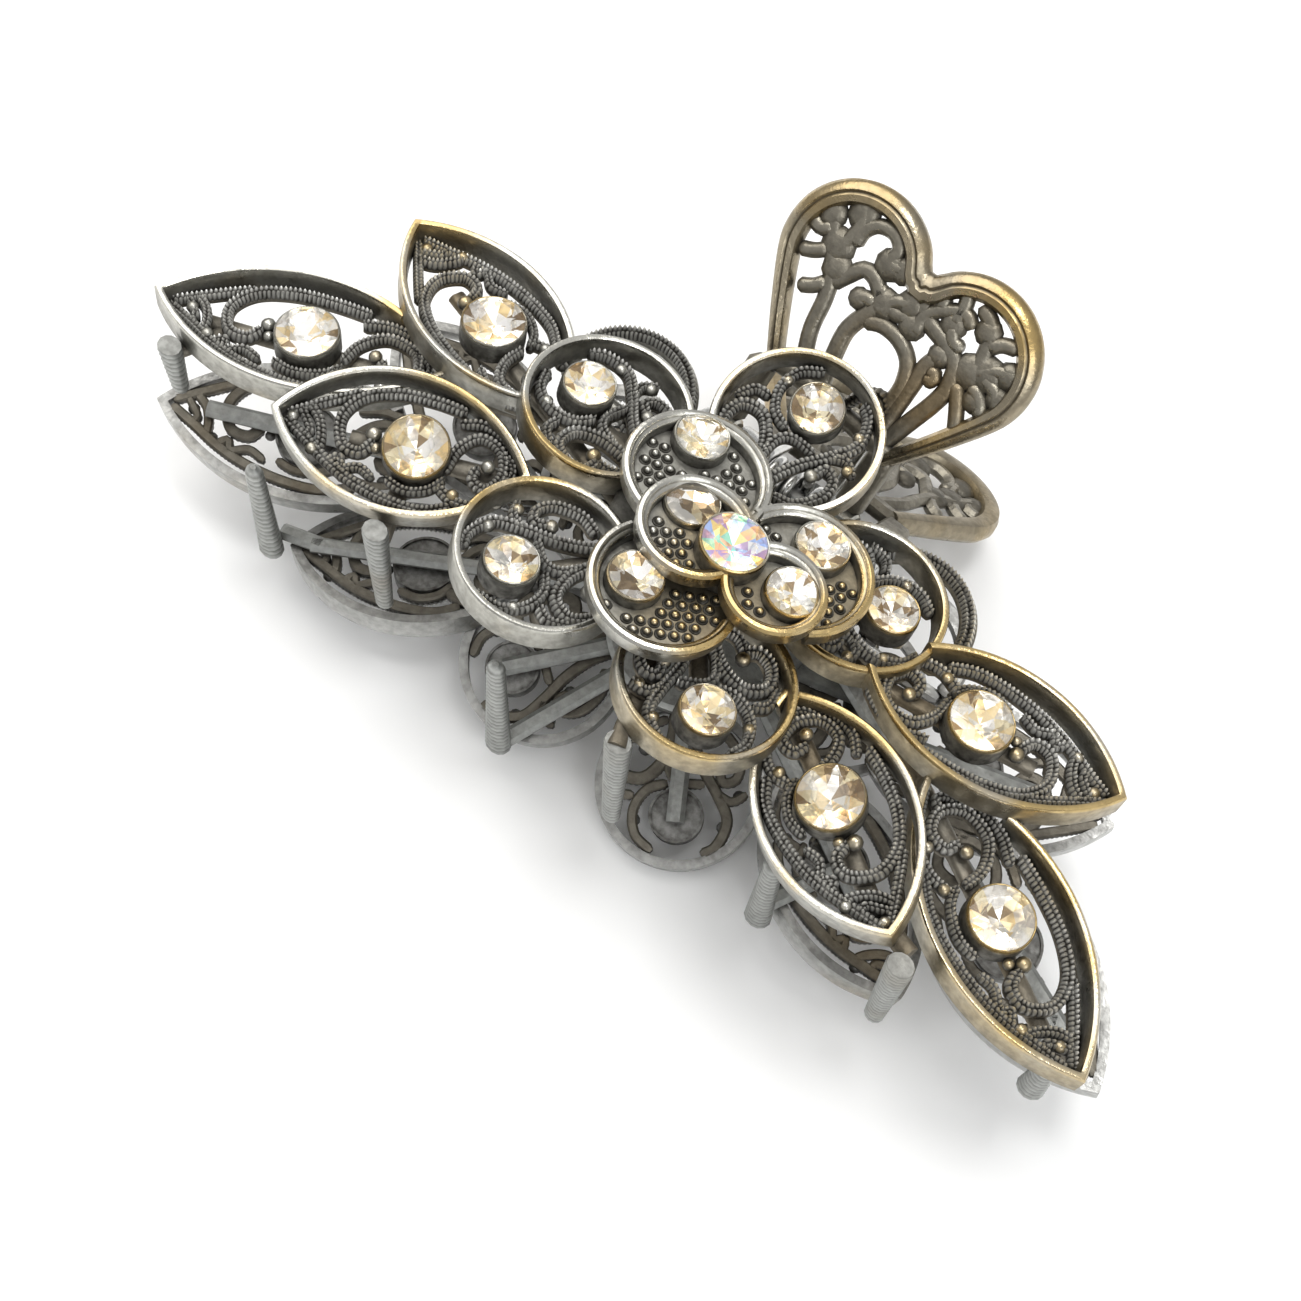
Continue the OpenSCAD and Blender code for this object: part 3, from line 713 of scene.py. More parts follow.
def filigree(shape, line, width, top, place, keep=None):
    """Milled wire on the bar of cast ground that carries it."""
    milled(shape, line, width, MILL_LOW, top, place, keep)
    for run in runs(spline(line, 0.3), keep):
        bar(shape, run, width - GROUND_NARROWER, TRAY_Z, MILL_LOW + 0.1, place, 0.15, 0.5, GROUND_MAT)


def knob(shape, x, y, r, place):
    ball(shape, (x, y, MILL_LOW + 0.3), r, place, (0.05, 0.8), flat=0.9)


def leaf_casting(shape, jaw, side, i, blank):
    """Pointed tray with its rim, milled scrolls and stone seat."""
    front, back = leaf_front(i), LEAF_BACK[i]
    place = leaf_matrix(jaw, side, i)
    keep = leaf_keep(jaw, side, i)
    rows = [leaf_outline(front, back, d, LEAF_STATIONS) for d, _, _ in WALL_SECTION]
    stations = [[Vector((*row[j], z)) for row, (_, z, _) in zip(rows, WALL_SECTION)]
                for j in range(2 * LEAF_STATIONS)]
    drop_stations(shape, stations, [p for _, _, p in WALL_SECTION], keep, place)
    flip = -1 if i == 1 else 1
    for n, (line, width) in enumerate(LEAF_SCROLLS):
        pts = [(x * (front / DRAWN_FRONT if x > 0 else back / DRAWN_BACK), flip * y) for x, y in line]
        filigree(shape, pts, width, MILL_TOP - 0.08 * (n % 3), place, keep)
    for x, y, r in LEAF_KNOBS:
        if keep(Vector((x, flip * y, MILL_LOW + 0.3))):
            knob(shape, x, flip * y, r, place)
    (blank_seat if blank else seat)(shape, BIG, place)


# ---- flower ----
# Milled scrolls of an outer petal's floor, from the petal's middle with X outwards
PETAL_SCROLLS = (
    (((-5.5, 0.9), (-3.6, 0.9), (-1.6, 1.5), (-0.2, 2.9), (-0.5, 4.6), (-2.1, 5.0), (-3.3, 4.2), (-3.2, 3.0)),
     1.1),
    (((-5.5, -0.4), (-3.6, -0.7), (-1.5, -1.6), (0.4, -2.9), (2.4, -3.9), (4.4, -3.3), (5.2, -2.2)), 1.0),
    (((-4.6, -1.6), (-4.1, -3.2), (-2.4, -4.4), (-0.9, -4.3), (-0.5, -3.3), (-1.5, -2.9)), 0.9),
    (((0.0, 0.9), (0.6, 2.4), (2.2, 3.3), (4.1, 3.0), (5.3, 1.6)), 0.9),
    (((1.2, 3.4), (1.0, 4.6), (-0.4, 5.4)), 0.85),
    (((-0.2, -1.9), (-0.2, 0.0), (-1.0, 0.9), (-2.6, 1.0)), 0.85),
    (((-3.2, 3.0), (-4.3, 2.6), (-5.0, 1.4)), 0.8),
    (((0.4, -2.9), (0.9, -4.1), (0.2, -5.2)), 0.8))
PETAL_KNOBS = ((-2.6, 2.9, 0.6), (-1.6, -2.8, 0.55), (3.0, 3.2, 0.5), (0.4, -4.6, 0.5), (2.9, -3.6, 0.5))


def petal_casting(shape, place, blank):
    """Round tray of an outer petal, its middle at PETAL_REACH along X."""
    here = place @ move(PETAL_REACH)
    lathe(shape, [(PETAL_R - d, z, p) for d, z, p in WALL_SECTION], here, 72)
    for line, width in PETAL_SCROLLS:
        filigree(shape, line, width, MILL_TOP, here)
    for x, y, r in PETAL_KNOBS:
        knob(shape, x, y, r, here)
    (blank_seat if blank else seat)(shape, SMALL, place @ move(PETAL_STONE))


def outer_flower(jaw, blank):
    shape = Shape()
    base = jaw @ FLOWER
    for k in range(1, 5):
        petal_casting(shape, base @ petal_place(k), blank)
    disc(shape, HUB_R, TRAY_Z, TRAY_Z + FLOOR_T, base, 0.25, 0.25)
    if blank:
        lathe(shape, [(0.02, TRAY_Z + 0.5, 0.2), (3.2, TRAY_Z + 0.5, 0.2), (3.0, TRAY_Z + 1.3, 0.8),
                      (2.0, TRAY_Z + 1.9, 1.0), (0.02, TRAY_Z + 2.2, 1.0)], base @ move(*ROSE_AT[:2]), 32)
    return shape


def hinge_petal(jaw, blank):
    shape = Shape()
    base = jaw @ FLOWER
    petal_casting(shape, base @ petal_place(0), blank)
    post = base @ turn(z=PETAL_ANGLES[0] + PETAL_TURN) @ move(6)
    foot, head = TRAY_Z + FLOOR_T, TRAY_Z + FLOOR_T + 1.5
    lathe(shape, [(0.02, foot, 0.3), (0.9, foot, 0.3), (0.9, head, 0.3), (0.02, head, 0.3)], post, 20)
    return shape


# (outward step, height, polish) round the section of a rose petal's rim, from its floor
ROSE_SECTION = ((0.25, 0.0, 0.3), (0.0, 0.35, 0.5), (-0.05, 1.2, 0.8), (-0.12, 1.55, 1.0), (0.02, 1.78, 1.0),
                (0.26, 1.84, 1.0), (0.42, 1.74, 1.0), (0.50, 1.60, 0.5), (0.62, 1.56, 0.9), (0.78, 1.44, 1.0),
                (0.88, 1.25, 0.5), (0.90, 0.5, 0.1), (0.95, 0.0, 0.0))
# Pitch and radius of the floor's balls, and radius of the dark ring round each, which paints the shade of the
# hole a ball sits in
BALL_PITCH, BALL_R, SHADE_RING_R = 0.96, 0.30, 0.36
# Free space round a stone and round the centre's stone, measured from the stone's edge to a ball's middle
STONE_CLEAR, CENTRE_CLEAR = 0.6, 0.4


def rose_petal(shape, base, at, r, stones, others, turned):
    """Shallow cup with a doubled rim and a floor covered in small balls, each ringed in painted shade."""
    here = base @ move(*at) @ move(0, 0, ROSE_FLOOR)

    def outside(p):
        x, y = p.x + at[0], p.y + at[1]
        return all(math.hypot(x - o[0], y - o[1]) > q for o, q in others)

    lathe(shape, [(r - d, z, p) for d, z, p in ROSE_SECTION], here, 80, keep=outside)
    disc(shape, r - 0.5, 0.0, 0.55, here, 0.1, 0.5)
    rows = int(r / BALL_PITCH) + 2
    for i in range(-rows, rows + 1):
        for j in range(-rows, rows + 1):
            x = BALL_PITCH * (i + 0.5 * (j % 2))
            y = BALL_PITCH * 0.88 * j
            x, y = x * math.cos(turned) - y * math.sin(turned), x * math.sin(turned) + y * math.cos(turned)
            if math.hypot(x, y) > r - 1.2 or not outside(Vector((x, y, 0))):
                continue
            if any(math.hypot(x + at[0] - s[0], y + at[1] - s[1]) < q for s, q in stones):
                continue
            ball(shape, (x, y, 0.66), BALL_R, here, (0.0, 1.0))
            # Dark ring round the ball: painted shade of the hole it sits in
            ring = [Vector((x + u, y + v, 0.52)) for u, v in circle(SHADE_RING_R, 14)]
            tube(shape, ring, 0.12, here, polish=0.0, closed=True, sides=6)


def rose_lower(jaw):
    shape = Shape()
    base = jaw @ FLOWER
    x, y, z = ROSE_AT
    middles = [(x + ROSE_REACH * math.cos(a), y + ROSE_REACH * math.sin(a), z)
               for a in [math.radians(ROSE_FIRST + 120 * k) for k in range(3)]]
    cover = [(UPPER_AT[n], UPPER_R[n] - 0.3) for n in (0, 1)]
    stones = [(s, SMALL / 2 + STONE_CLEAR) for s in ROSE_STONE[:3]]
    for k, at in enumerate(middles):
        others = cover + [(m, ROSE_R - 0.35) for n, m in enumerate(middles) if (n - k) % 3 == 1]
        rose_petal(shape, base, at, ROSE_R, stones, others, math.radians(17 * k))
    floor, hub = z + ROSE_FLOOR, base @ move(x, y)
    disc(shape, 3.4, floor, floor + 0.8, hub, 0.2, 0.2)
    disc(shape, 2.4, TRAY_Z + FLOOR_T, floor + 0.4, hub, 0.2, 0.3)
    for s in ROSE_STONE[:3]:
        seat(shape, SMALL, base @ move(*s), floor - s[2] + 0.2)
    return shape


def rose_upper(jaw):
    shape = Shape()
    base = jaw @ FLOWER
    stones = [(ROSE_STONE[n], SMALL / 2 + STONE_CLEAR) for n in (3, 4)]
    stones.append((CENTRE_AT, BIG / 2 + CENTRE_CLEAR))
    for n in (0, 1):
        cover = [(CENTRE_AT, BIG / 2 - 0.2)] + ([(UPPER_AT[0], UPPER_R[0] - 0.35)] if n == 1 else [])
        rose_petal(shape, base, UPPER_AT[n], UPPER_R[n], stones, cover, math.radians(40 + 25 * n))
    for n in (3, 4):
        seat(shape, SMALL, base @ move(*ROSE_STONE[n]), UPPER_AT[0][2] + ROSE_FLOOR - ROSE_STONE[n][2] + 0.2)
    seat(shape, BIG, base @ move(*CENTRE_AT), ROSE_AT[2] + ROSE_FLOOR - CENTRE_AT[2] + 0.8, 0.2)
    return shape


# ---- frame ----
def lug(shape, x0, r_in, place):
    here = place @ move(x0) @ turn(0, 90, 0)
    b = 0.2
    lathe(shape, [(r_in, 0, 0.3), (r_in, LUG_W, 0.3), (LUG_R - b, LUG_W, 0.7), (LUG_R, LUG_W - b, 0.9),
                  (LUG_R, b, 0.9), (LUG_R - b, 0, 0.7)], here, 40)


def tooth(shape, x, y, root, tip, place, mat):
    """Slightly flattened rod with cast cross ridges, narrower to its end."""
    length = root - tip
    count = max(8, int(length / 0.32))
    points = [Vector((x, y, root - length * j / count)) for j in range(count + 1)]

    def size(j, n, sec):
        t = j / (n - 1)
        k = (1.12 - 0.36 * t) * (1.0 if j % 2 else 0.90)
        if j >= n - 2:
            k *= 0.72 if j == n - 2 else 0.34
        return [(s * k, h * k) for s, h in sec]

    section = [(0.98 * s, 0.82 * h) for s, h in circle(1, 12)]
    sweep(shape, points, section, place, up=Vector((0, 1, 0)), scale=size,
          polish=lambda j, sec: [0.9 if j % 2 else 0.3] * len(sec), mat=mat)


def under_bar(shape, place, p, q, keep=None):
    start, end = Vector((*p, 0)), Vector((*q, 0))
    count = max(3, int((end - start).length / 0.5))
    points = [start.lerp(end, j / count) for j in range(count + 1)]
    for run in runs(points, keep):
        sweep(shape, run, rounded_bar(RIB_W, TRAY_Z - RIB_T, TRAY_Z, 0.35), place, polish=even(0.6),
              mat=GROUND_MAT)


def scroll(shape, jaw, side):
    here = jaw @ SIDE[side] @ move(*SCROLL_AT)
    to_flower = (jaw @ FLOWER).inverted() @ here

    def keep(p):
        q = to_flower @ p
        return not (in_round_petals(q) and q.z > TRAY_Z - 0.6)

    r = SCROLL_R - 0.5
    arch = [(r * math.cos(a), r * math.sin(a)) for a in [math.radians(-14 + 208 * n / 14) for n in range(15)]]
    milled(shape, arch, 1.2, -0.6, 0.75, here, keep)
    for run in runs(spline(arch, 0.3), keep):
        bar(shape, run, 1.35, -0.8, -0.2, here, 0.2, 0.3)
    curl = [(-r + 0.3, -1.0), (-r + 1.4, -2.4), (-r + 3.1, -2.1), (-r + 3.0, -0.6), (-r + 1.9, -0.5)]
    milled(shape, curl, 1.0, -0.6, 0.55, here, keep)
    foot = spline([(-r + 0.2, -1.6), (0, -1.7), (r - 0.2, -1.6)], 0.4)
    for run in runs(foot, keep):
        bar(shape, run, 1.2, -0.8, 0.3, here, 0.3, 0.6)


# How far the bar under each leaf runs on in front of its stone, and behind its back tip
BAR_REACH = (("right", (8, 5, 9)), ("left", (8, 5, 5)))
BAR_BEHIND = (16, 9, 6.5)


def frame_casting(jaw, hinge, r_in, tooth_mat):
    """Ribs, hub, scrolls, teeth and webs in the jaw's frame, and lugs in the hinge's, cast in one."""
    shape = Shape()
    flower = jaw @ FLOWER
    under = TRAY_Z - HUB_T
    lathe(shape, [(0.8, under, 0.4), (HUB_R - 0.4, under, 0.5), (HUB_R, under + 0.4, 0.7),
                  (HUB_R, TRAY_Z - 0.3, 0.6), (HUB_R - 0.3, TRAY_Z, 0.4), (0.8, TRAY_Z, 0.3)],
          flower, 56, mat=GROUND_MAT)
    under_bar(shape, flower, (0, 0), (5.3, -17.2))
    for angle in PETAL_ANGLES[1:]:
        under_bar(shape, flower @ turn(z=angle), (5, 0), (PETAL_REACH + 3, 0))

    def below_petals(place):
        to_flower = flower.inverted() @ place

        def keep(p):
            q = to_flower @ (p + Vector((0, 0, TRAY_Z)))
            inside = in_round_petals(q) or math.hypot(q.x, q.y) < HUB_R - 0.2
            return not (inside and q.z > TRAY_Z - 0.1)
        return keep

    for side, reach in BAR_REACH:
        for i, behind in enumerate(BAR_BEHIND):
            place = leaf_matrix(jaw, side, i)
            under_bar(shape, place, (-LEAF_BACK[i] - behind, 0), (reach[i], 0), below_petals(place))
    under_bar(shape, leaf_matrix(jaw, "right", 2), (8.2, 0), (11.6, 0.9))
    under_bar(shape, leaf_matrix(jaw, "left", 0), (6, 0), (9.2, -3.4))
    under_bar(shape, leaf_matrix(jaw, "left", 2), (0.3, 0), (0.7, -6.8))
    for side in ("left", "right"):
        scroll(shape, jaw, side)
    for x, y, root, tip in TEETH:
        tooth(shape, x, y, root, tip, jaw, tooth_mat)
    outline = spline([(-10, 3.6, 0), (-7, 3.0, 0), (-5, 2.2, 0), (-3.4, 0.6, 0), (-1.8, -0.9, 0)], 0.6)
    top = spline([(0.4, 0, 0), (0.4, 2, 0), (-1.5, 3.1, 0), (-4, 4.3, 0), (-7, 5.0, 0), (-10, 5.4, 0)], 0.6)
    for x0 in LUG_AT:
        web = [(p.x, p.y) for p in outline + top]
        plate(shape, web, 0, LUG_W, jaw @ move(x0) @ turn(90, 0, 90), 0.6, MATTE_MAT)
        lug(shape, x0, r_in, hinge)
    return shape


# ---- handles ----
def heart_line(inset):
    """Right half of the heart's line drawn in by inset, from the base to the notch, as (x, height) points."""
    r = LOBE_R - inset
    dx, dy = LOBE_X - BAR_HALF, LOBE_U - BAR_U
    lean = math.atan2(dy, dx) - math.asin(r / math.hypot(dx, dy))
    reach = math.sqrt(dx * dx + dy * dy - r * r)
    tx, ty = BAR_HALF + reach * math.cos(lean), BAR_U + reach * math.sin(lean)
    first = math.atan2(ty - LOBE_U, tx - LOBE_X)
    last = math.radians(152)
    pts = [(BAR_HALF - 0.4, BAR_U - 0.3), (0.5 * (BAR_HALF + tx), 0.5 * (BAR_U + ty))]
    pts += [(LOBE_X + r * math.cos(a), LOBE_U + r * math.sin(a))
            for a in [first + (last - first) * n / 9 for n in range(10)]]
    return pts + [(0.35, LOBE_U + 2.25), (0.0, LOBE_U + 1.9)]


# Fanned ribs and the vine across them, as (line, width)
HEART_RIBS = (
    (((-3.3, 7.4), (-4.9, 10.6), (-5.5, 13.2), (-6.2, 15.1), (-7.4, 16.6), (-8.4, 18.2), (-9.4, 19.2)), 1.3),
    (((-1.6, 7.6), (-2.4, 10.7), (-2.7, 12.6), (-2.3, 14.3), (-1.9, 15.6), (-2.6, 16.9)), 1.4),
    (((3.1, 8.4), (3.3, 10.4), (3.2, 12.2), (2.4, 13.8), (0.9, 14.6), (-0.8, 14.6), (-2.1, 13.9)), 1.3),
    (((4.0, 7.6), (3.9, 10.6), (3.8, 12.8), (3.7, 14.4), (4.1, 15.7)), 1.3),
    (((4.6, 7.4), (5.4, 10.6), (5.9, 12.7), (6.0, 14.3), (5.3, 16.0), (3.6, 16.7), (1.8, 17.1), (0.5, 18.2)),
     1.4),
    (((-5.8, 14.4), (-5.1, 15.8), (-4.4, 16.9), (-3.3, 16.9), (-2.1, 16.2), (-0.6, 15.9), (0.8, 16.4)), 1.3),
    (((6.0, 15.0), (6.8, 16.6), (6.5, 18.4), (5.8, 19.8), (4.3, 20.5)), 1.3))
HEART_CURLS = (
    ((-6.1, 14.4), (-6.8, 13.5), (-7.8, 12.8)), ((-7.5, 16.4), (-8.3, 15.6), (-9.4, 15.0)),
    ((-6.9, 16.6), (-6.6, 18.3), (-6.6, 19.7), (-7.3, 20.8)), ((-8.2, 17.9), (-8.9, 17.2), (-9.9, 17.4)),
    ((-6.1, 17.8), (-6.1, 19.1), (-5.4, 20.1), (-4.1, 20.4), (-3.1, 19.7), (-3.1, 18.6), (-1.7, 18.7)),
    ((-2.1, 15.5), (-3.2, 15.3), (-3.7, 14.5)), ((-1.7, 15.1), (-1.1, 16.5), (0.0, 17.3), (0.0, 18.8)),
    ((1.6, 15.6), (1.4, 17.2), (2.1, 18.3), (3.7, 19.3), (4.8, 18.7)),
    ((3.5, 18.1), (4.3, 17.1), (5.2, 17.2)), ((2.1, 18.3), (1.7, 19.5)),
    ((6.6, 18.4), (7.3, 19.3), (8.5, 19.8)), ((7.0, 16.4), (8.1, 17.5), (9.8, 18.2)),
    ((7.6, 16.6), (9.0, 16.3), (10.0, 15.3)), ((6.4, 15.0), (7.6, 13.4), (8.6, 11.9)),
    ((7.3, 15.6), (8.6, 15.0), (9.3, 14.0)), ((3.5, 18.1), (3.3, 19.8), (2.7, 20.9)),
    ((4.1, 14.6), (4.8, 14.2), (4.4, 13.4)))
# Broad cast leaflets of the heart, as (x, height, radius)
HEART_LEAFLETS = (
    (-7.1, 17.0, 1.3), (-6.1, 15.6, 1.15), (-8.9, 18.6, 1.1), (-6.9, 20.0, 1.2), (-3.0, 18.4, 1.15),
    (-1.9, 18.7, 1.0), (-1.6, 15.9, 1.15), (0.1, 17.2, 1.1), (1.1, 16.0, 1.0), (3.5, 18.1, 1.0),
    (6.6, 16.2, 1.3), (7.7, 16.9, 1.3), (9.1, 17.8, 1.0), (9.5, 16.0, 0.9), (8.2, 14.8, 0.9),
    (4.1, 15.7, 0.9), (5.9, 19.3, 1.0), (-3.4, 15.0, 0.8), (1.4, 18.9, 0.8))
# (side, height, polish) round the heart's rolled rim, with a groove along its top
HEART_RIM = (
    (-0.86, -0.35, 0.5), (-0.62, -0.88, 0.5), (0.0, -1.0, 0.5), (0.62, -0.88, 0.5), (0.86, -0.35, 0.6),
    (0.9, 0.3, 0.8), (0.62, 0.82, 0.95), (0.2, 1.02, 1.0), (0.02, 0.86, 0.1), (-0.16, 1.0, 1.0),
    (-0.6, 0.84, 0.95), (-0.9, 0.3, 0.8))


def handle(hinge, lean):
    """Open heart with a thick rounded rim, fanned ribs and leaflets, on two straps down to its hinge lugs."""
    shape = Shape()
    plane = hinge @ turn(lean)
    place = plane @ move(HEART_SHIFT, HEART_RAISE) @ turn(z=-HEART_TURN)
    right = heart_line(0.85)
    points = spline([(-x, u) for x, u in right[:-1]] + right[::-1], 0.35)

    def rim(j, count, sec):
        t = abs(2 * j / (count - 1) - 1)
        k = 1.1 - 0.42 * max(0.0, t - 0.5) / 0.5
        notch = max(0.0, 1 - abs(j - count / 2) / 6)
        return [(s * k * (1 + 0.25 * notch), h * (0.75 + 0.25 * k)) for s, h in sec]

    sweep(shape, points, [(a, h) for a, h, _ in HEART_RIM], place, scale=rim,
          polish=lambda j, sec: [v for _, _, v in HEART_RIM], mat=RIM_MAT)
    for line, width in HEART_RIBS:
        bar(shape, spline(line, 0.4), width, -0.55, 0.5, place, 0.42, 0.75)
    for line in HEART_CURLS:
        bar(shape, spline(line, 0.3), 1.2, -0.5, 0.6, place, 0.45, 0.9)
    for x, u, r in HEART_LEAFLETS:
        ball(shape, (x, u, 0.0), 1.15 * r, place, (0.3, 0.75), flat=0.55 / r)
    curl = [(0.6, 7.9), (1.3, 9.6), (2.4, 10.5), (3.4, 9.8), (3.1, 8.7), (2.2, 8.8)]
    milled(shape, curl, 1.1, -0.2, 0.95, place, mat=0)
    ball(shape, (2.7, 9.7, 0.3), 0.8, place, (0.2, 0.8))
    foot = spline([(-6.4, 7.3), (-3, 7.4), (3, 7.4), (6.2, 7.3)], 0.5)
    bar(shape, foot, 1.5, -0.75, 0.7, place, 0.45, 0.6)
    for x in LUG_AT:
        strap = [Vector((x + LUG_W / 2, 1.9 + 0.5 * k, 0)) for k in range(12)]
        bar(shape, strap, LUG_W, -0.7, 0.7, plane, 0.3, 0.6)
    return shape


# ---- spring and pin ----
def around(r, a):
    return Vector((0, r * math.cos(math.radians(a)), r * math.sin(math.radians(a))))


STEPS = 40
PITCH = WIRE_D + 0.1
REAR_LEG = 90 - REAR_LEAN
FRONT_LEG = FRONT_LEAN - 90
LAST_X = COIL_X0 + PITCH * COIL_TURNS + WIRE_D + 0.25
# How far a leg moves along the pin by its end, and a direction that no part of the wire runs in
LEG_SPREAD = 0.3
WIRE_UP = Vector((1, 0.02, 0.01)).normalized()


def wire_shape(points):
    shape = Shape()
    tube(shape, points, WIRE_D / 2, LAY, up=WIRE_UP, polish=0.9, sides=14)
    return shape


def spring_leg(start, angle, way, shares):
    """Points of a straight leg; way is 1 where it goes on with the winding and -1 where it goes back."""
    lead, lean = around(1, angle + 90 * way) * LEG_LEN, around(1, angle) * LEG_LEAN
    return [start + lead * t - lean * t + Vector((way * LEG_SPREAD * t, 0, 0)) for t in shares]


def coil_points():
    """Rear leg from its end, then the coil."""
    pts = [Vector((COIL_X0 + PITCH * i / STEPS, 0, 0)) + around(COIL_R, REAR_LEG + 360 * i / STEPS)
           for i in range(COIL_TURNS * STEPS + 1)]
    return spring_leg(pts[0], REAR_LEG, -1, [1 - n / 10 for n in range(10)]) + pts


def front_leg_points():
    """The bend that leads off the coil's far end, then the front leg."""
    pts = [Vector((LAST_X + 0.4 * i / STEPS, 0, 0)) + around(COIL_R, FRONT_LEG - 330 + 330 * i / STEPS)
           for i in range(STEPS + 1)]
    return pts + spring_leg(pts[-1], FRONT_LEG, 1, [n / 10 for n in range(1, 11)])


def pin():
    shape = Shape()
    e, r = PIN_END, PIN_R
    head = [(r, e, 0.3), (r + 0.55, e, 0.5), (r + 0.6, e + 0.25, 0.9), (r + 0.5, e + 0.5, 1.0),
            (r, e + 0.85, 1.0), (0.02, e + 0.9, 1.0)]
    lathe(shape, [(q, -z, v) for q, z, v in head[::-1]] + head, LAY @ turn(0, 90, 0), 32)
    return shape


# ---- build ----
def casting(node, shape, body, materials=METALS):
    piece(f"casting_{node}", shape, body, [node], materials)


def crystal_piece(seat_name, d, place, deep=1.0, materials=CLEAR):
    shape = Shape()
    stone(shape, d, place, deep)
    piece(f"crystal_{seat_name}", shape, "front_jaw", [f"stone_{seat_name}"], materials, 0)


KINDS = ("end", "upper", "lower")
EIGHTH = 45  # a brilliant's facets repeat after this turn
for jaw, body, lead, blank in ((FRONT, "front_jaw", "", False), (REAR, "rear_jaw", "rear_", True)):
    metals = REAR_METALS if blank else METALS
    for side in SIDE:
        for i, kind in enumerate(KINDS):
            leaf = Shape()
            leaf_casting(leaf, jaw, side, i, blank)
            casting(f"{lead}leaf_{side}_{kind}", leaf, body, materials=metals)
            if not blank:
                spun = turn(z=rng.uniform(0, EIGHTH))
                crystal_piece(f"leaf_{side}_{kind}", BIG, leaf_matrix(jaw, side, i) @ spun)
    casting("rear_flower" if blank else "outer_flower", outer_flower(jaw, blank), body, materials=metals)
    casting(f"{lead}hinge_petal", hinge_petal(jaw, blank), body, materials=metals)

on_flower = FRONT @ FLOWER
for k in range(5):
    spun = turn(z=rng.uniform(0, EIGHTH))
    crystal_piece(f"petal_{k + 1}", SMALL, on_flower @ petal_place(k) @ move(PETAL_STONE) @ spun)
for k, at in enumerate(ROSE_STONE):
    spun = turn(z=rng.uniform(0, EIGHTH))
    crystal_piece(f"rose_{k + 1}", SMALL, on_flower @ move(*at) @ spun, ROSE_DEPTH[k])
crystal_piece("centre", BIG, on_flower @ move(*CENTRE_AT) @ turn(z=12), 1.0, RAINBOW)

casting("rose_lower", rose_lower(FRONT), "front_jaw")
casting("rose_upper", rose_upper(FRONT), "front_jaw")
casting("front_frame", frame_casting(FRONT, LAY, PIN_R + RUN_GAP, MATTE_MAT), "front_jaw")
casting("rear_frame", frame_casting(REAR, REAR_HINGE, PIN_R, GROUND_MAT), "rear_jaw",
        REAR_FRAME_METALS)
casting("front_handle", handle(LAY, FRONT_LEAN), "front_jaw", materials=HANDLE_METALS)
casting("rear_handle", handle(REAR_HINGE, REAR_LEAN), "rear_jaw", materials=HANDLE_METALS)
rivet = Shape()
lathe(rivet, [(0.02, -0.7, 1.0), (1.2, -0.7, 1.0), (1.7, -0.35, 0.9), (1.7, 0, 0.5), (0.8, 0, 0.3),
              (0.8, 5.7, 0.3), (0.02, 5.7, 0.3)], on_flower @ move(*ROSE_AT[:2], TRAY_Z - HUB_T), 28)
piece("turned_rose_rivet", rivet, "front_jaw", ["rose_rivet"], STEELS)
piece("drawn_hinge_pin", pin(), "rear_jaw", ["hinge_pin"], STEELS)
piece("wound_spring", wire_shape(coil_points()), "rear_jaw", ["torsion_spring"], STEELS)
piece("wound_spring_front_leg", wire_shape(front_leg_points()), "front_jaw", ["spring_front_leg"],
      STEELS)

# ---- floor, light and camera ----
FLOOR_HALF = 1.5
mesh = bpy.data.meshes.new("studio_floor")
corners = ((-1, -1), (1, -1), (1, 1), (-1, 1))
mesh.from_pydata([(FLOOR_HALF * x, FLOOR_HALF * y, cad_box[0].z) for x, y in corners], [], [(0, 1, 2, 3)])
floor = bpy.data.objects.new("studio_floor", mesh)
bpy.context.scene.collection.objects.link(floor)
pale = Nodes("pale_floor")
pale.link(pale.mix(pale.noise(3, 2), (0.90, 0.90, 0.89), (0.93, 0.93, 0.92)), pale.bsdf.inputs["Base Color"])
pale.bsdf.inputs["Roughness"].default_value = 0.9
mesh.materials.append(pale.mat)


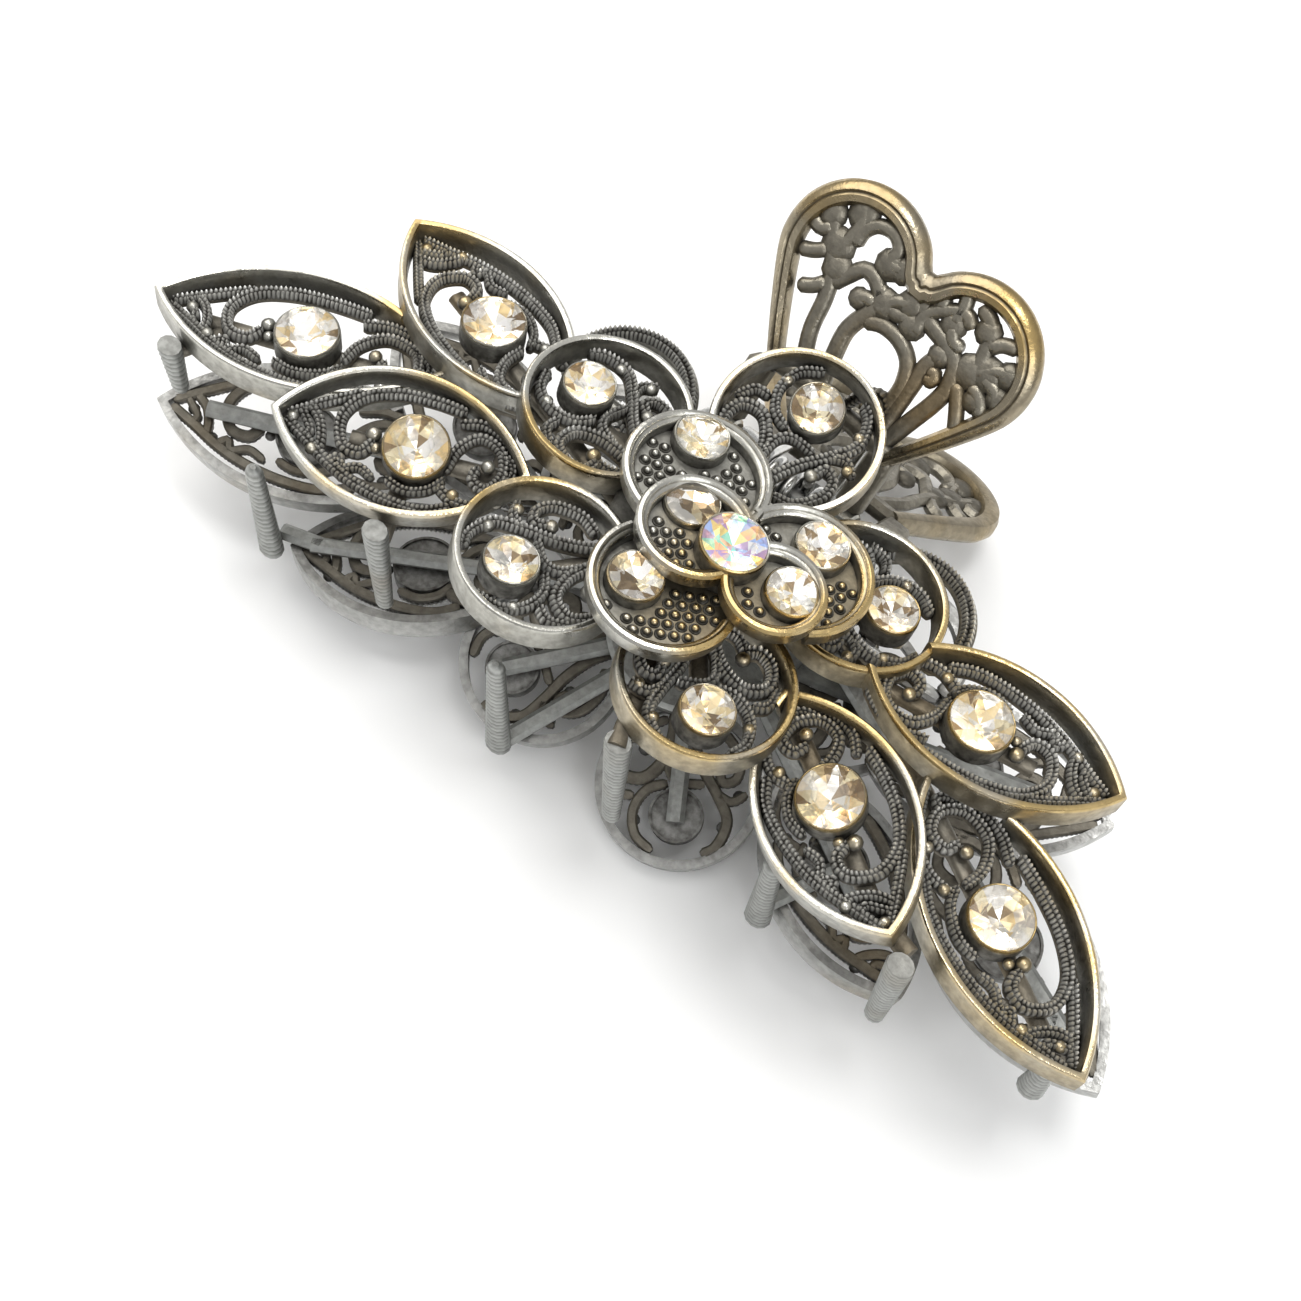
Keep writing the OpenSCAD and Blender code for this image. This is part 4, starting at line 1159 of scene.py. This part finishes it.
def soft_light(name, at, size, power, colour=(1, 1, 1)):
    """Square area light aimed at the origin."""
    data = bpy.data.lights.new(name, "AREA")
    data.shape, data.size, data.energy, data.color = "SQUARE", size, power, colour
    obj = bpy.data.objects.new(name, data)
    bpy.context.scene.collection.objects.link(obj)
    obj.location = at
    obj.rotation_euler = (-Vector(at)).to_track_quat("-Z", "Y").to_euler()


soft_light("key", (-0.30, 0.10, 0.42), 0.46, 1.6, (1.0, 0.98, 0.95))
soft_light("fill", (0.40, -0.20, 0.35), 0.30, 0.9, (0.96, 0.98, 1.0))
soft_light("top", (0.05, 0.05, 0.55), 0.16, 0.9)
world = bpy.data.worlds.new("studio")
world.use_nodes = True
bpy.context.scene.world = world
tree = world.node_tree
background = tree.nodes["Background"]
direction = tree.nodes.new("ShaderNodeTexCoord")
gradient = tree.nodes.new("ShaderNodeSeparateXYZ")
ramp = tree.nodes.new("ShaderNodeValToRGB")
tree.links.new(direction.outputs["Generated"], gradient.inputs[0])
tree.links.new(gradient.outputs["Z"], ramp.inputs[0])
tree.links.new(ramp.outputs[0], background.inputs["Color"])
low, high = ramp.color_ramp.elements
low.position, low.color = 0.0, (0.58, 0.58, 0.59, 1)
high.position, high.color = 0.9, (1.0, 1.0, 1.0, 1)
background.inputs["Strength"].default_value = 0.82
bpy.context.scene.view_settings.view_transform = "Standard"

# The camera's axes and place, fitted to the photograph's view
RIGHT = Vector((0.7421, 0.6615, 0.1087))
UPWARD = Vector((-0.6286, 0.6304, 0.4555))
BACKWARD = Vector((0.2328, -0.4064, 0.8835))
CAMERA_AT = Vector((0.04004, -0.08453, 0.14584))
SENSOR, LENS = 36, 62.6
camera_data = bpy.data.cameras.new("camera")
camera_data.sensor_width, camera_data.lens = SENSOR, LENS
camera_data.clip_start = 0.01
camera = bpy.data.objects.new("camera", camera_data)
bpy.context.scene.collection.objects.link(camera)
pose = Matrix((RIGHT, UPWARD, BACKWARD)).transposed().to_4x4()
pose.translation = CAMERA_AT
camera.matrix_world = pose
bpy.context.scene.camera = camera
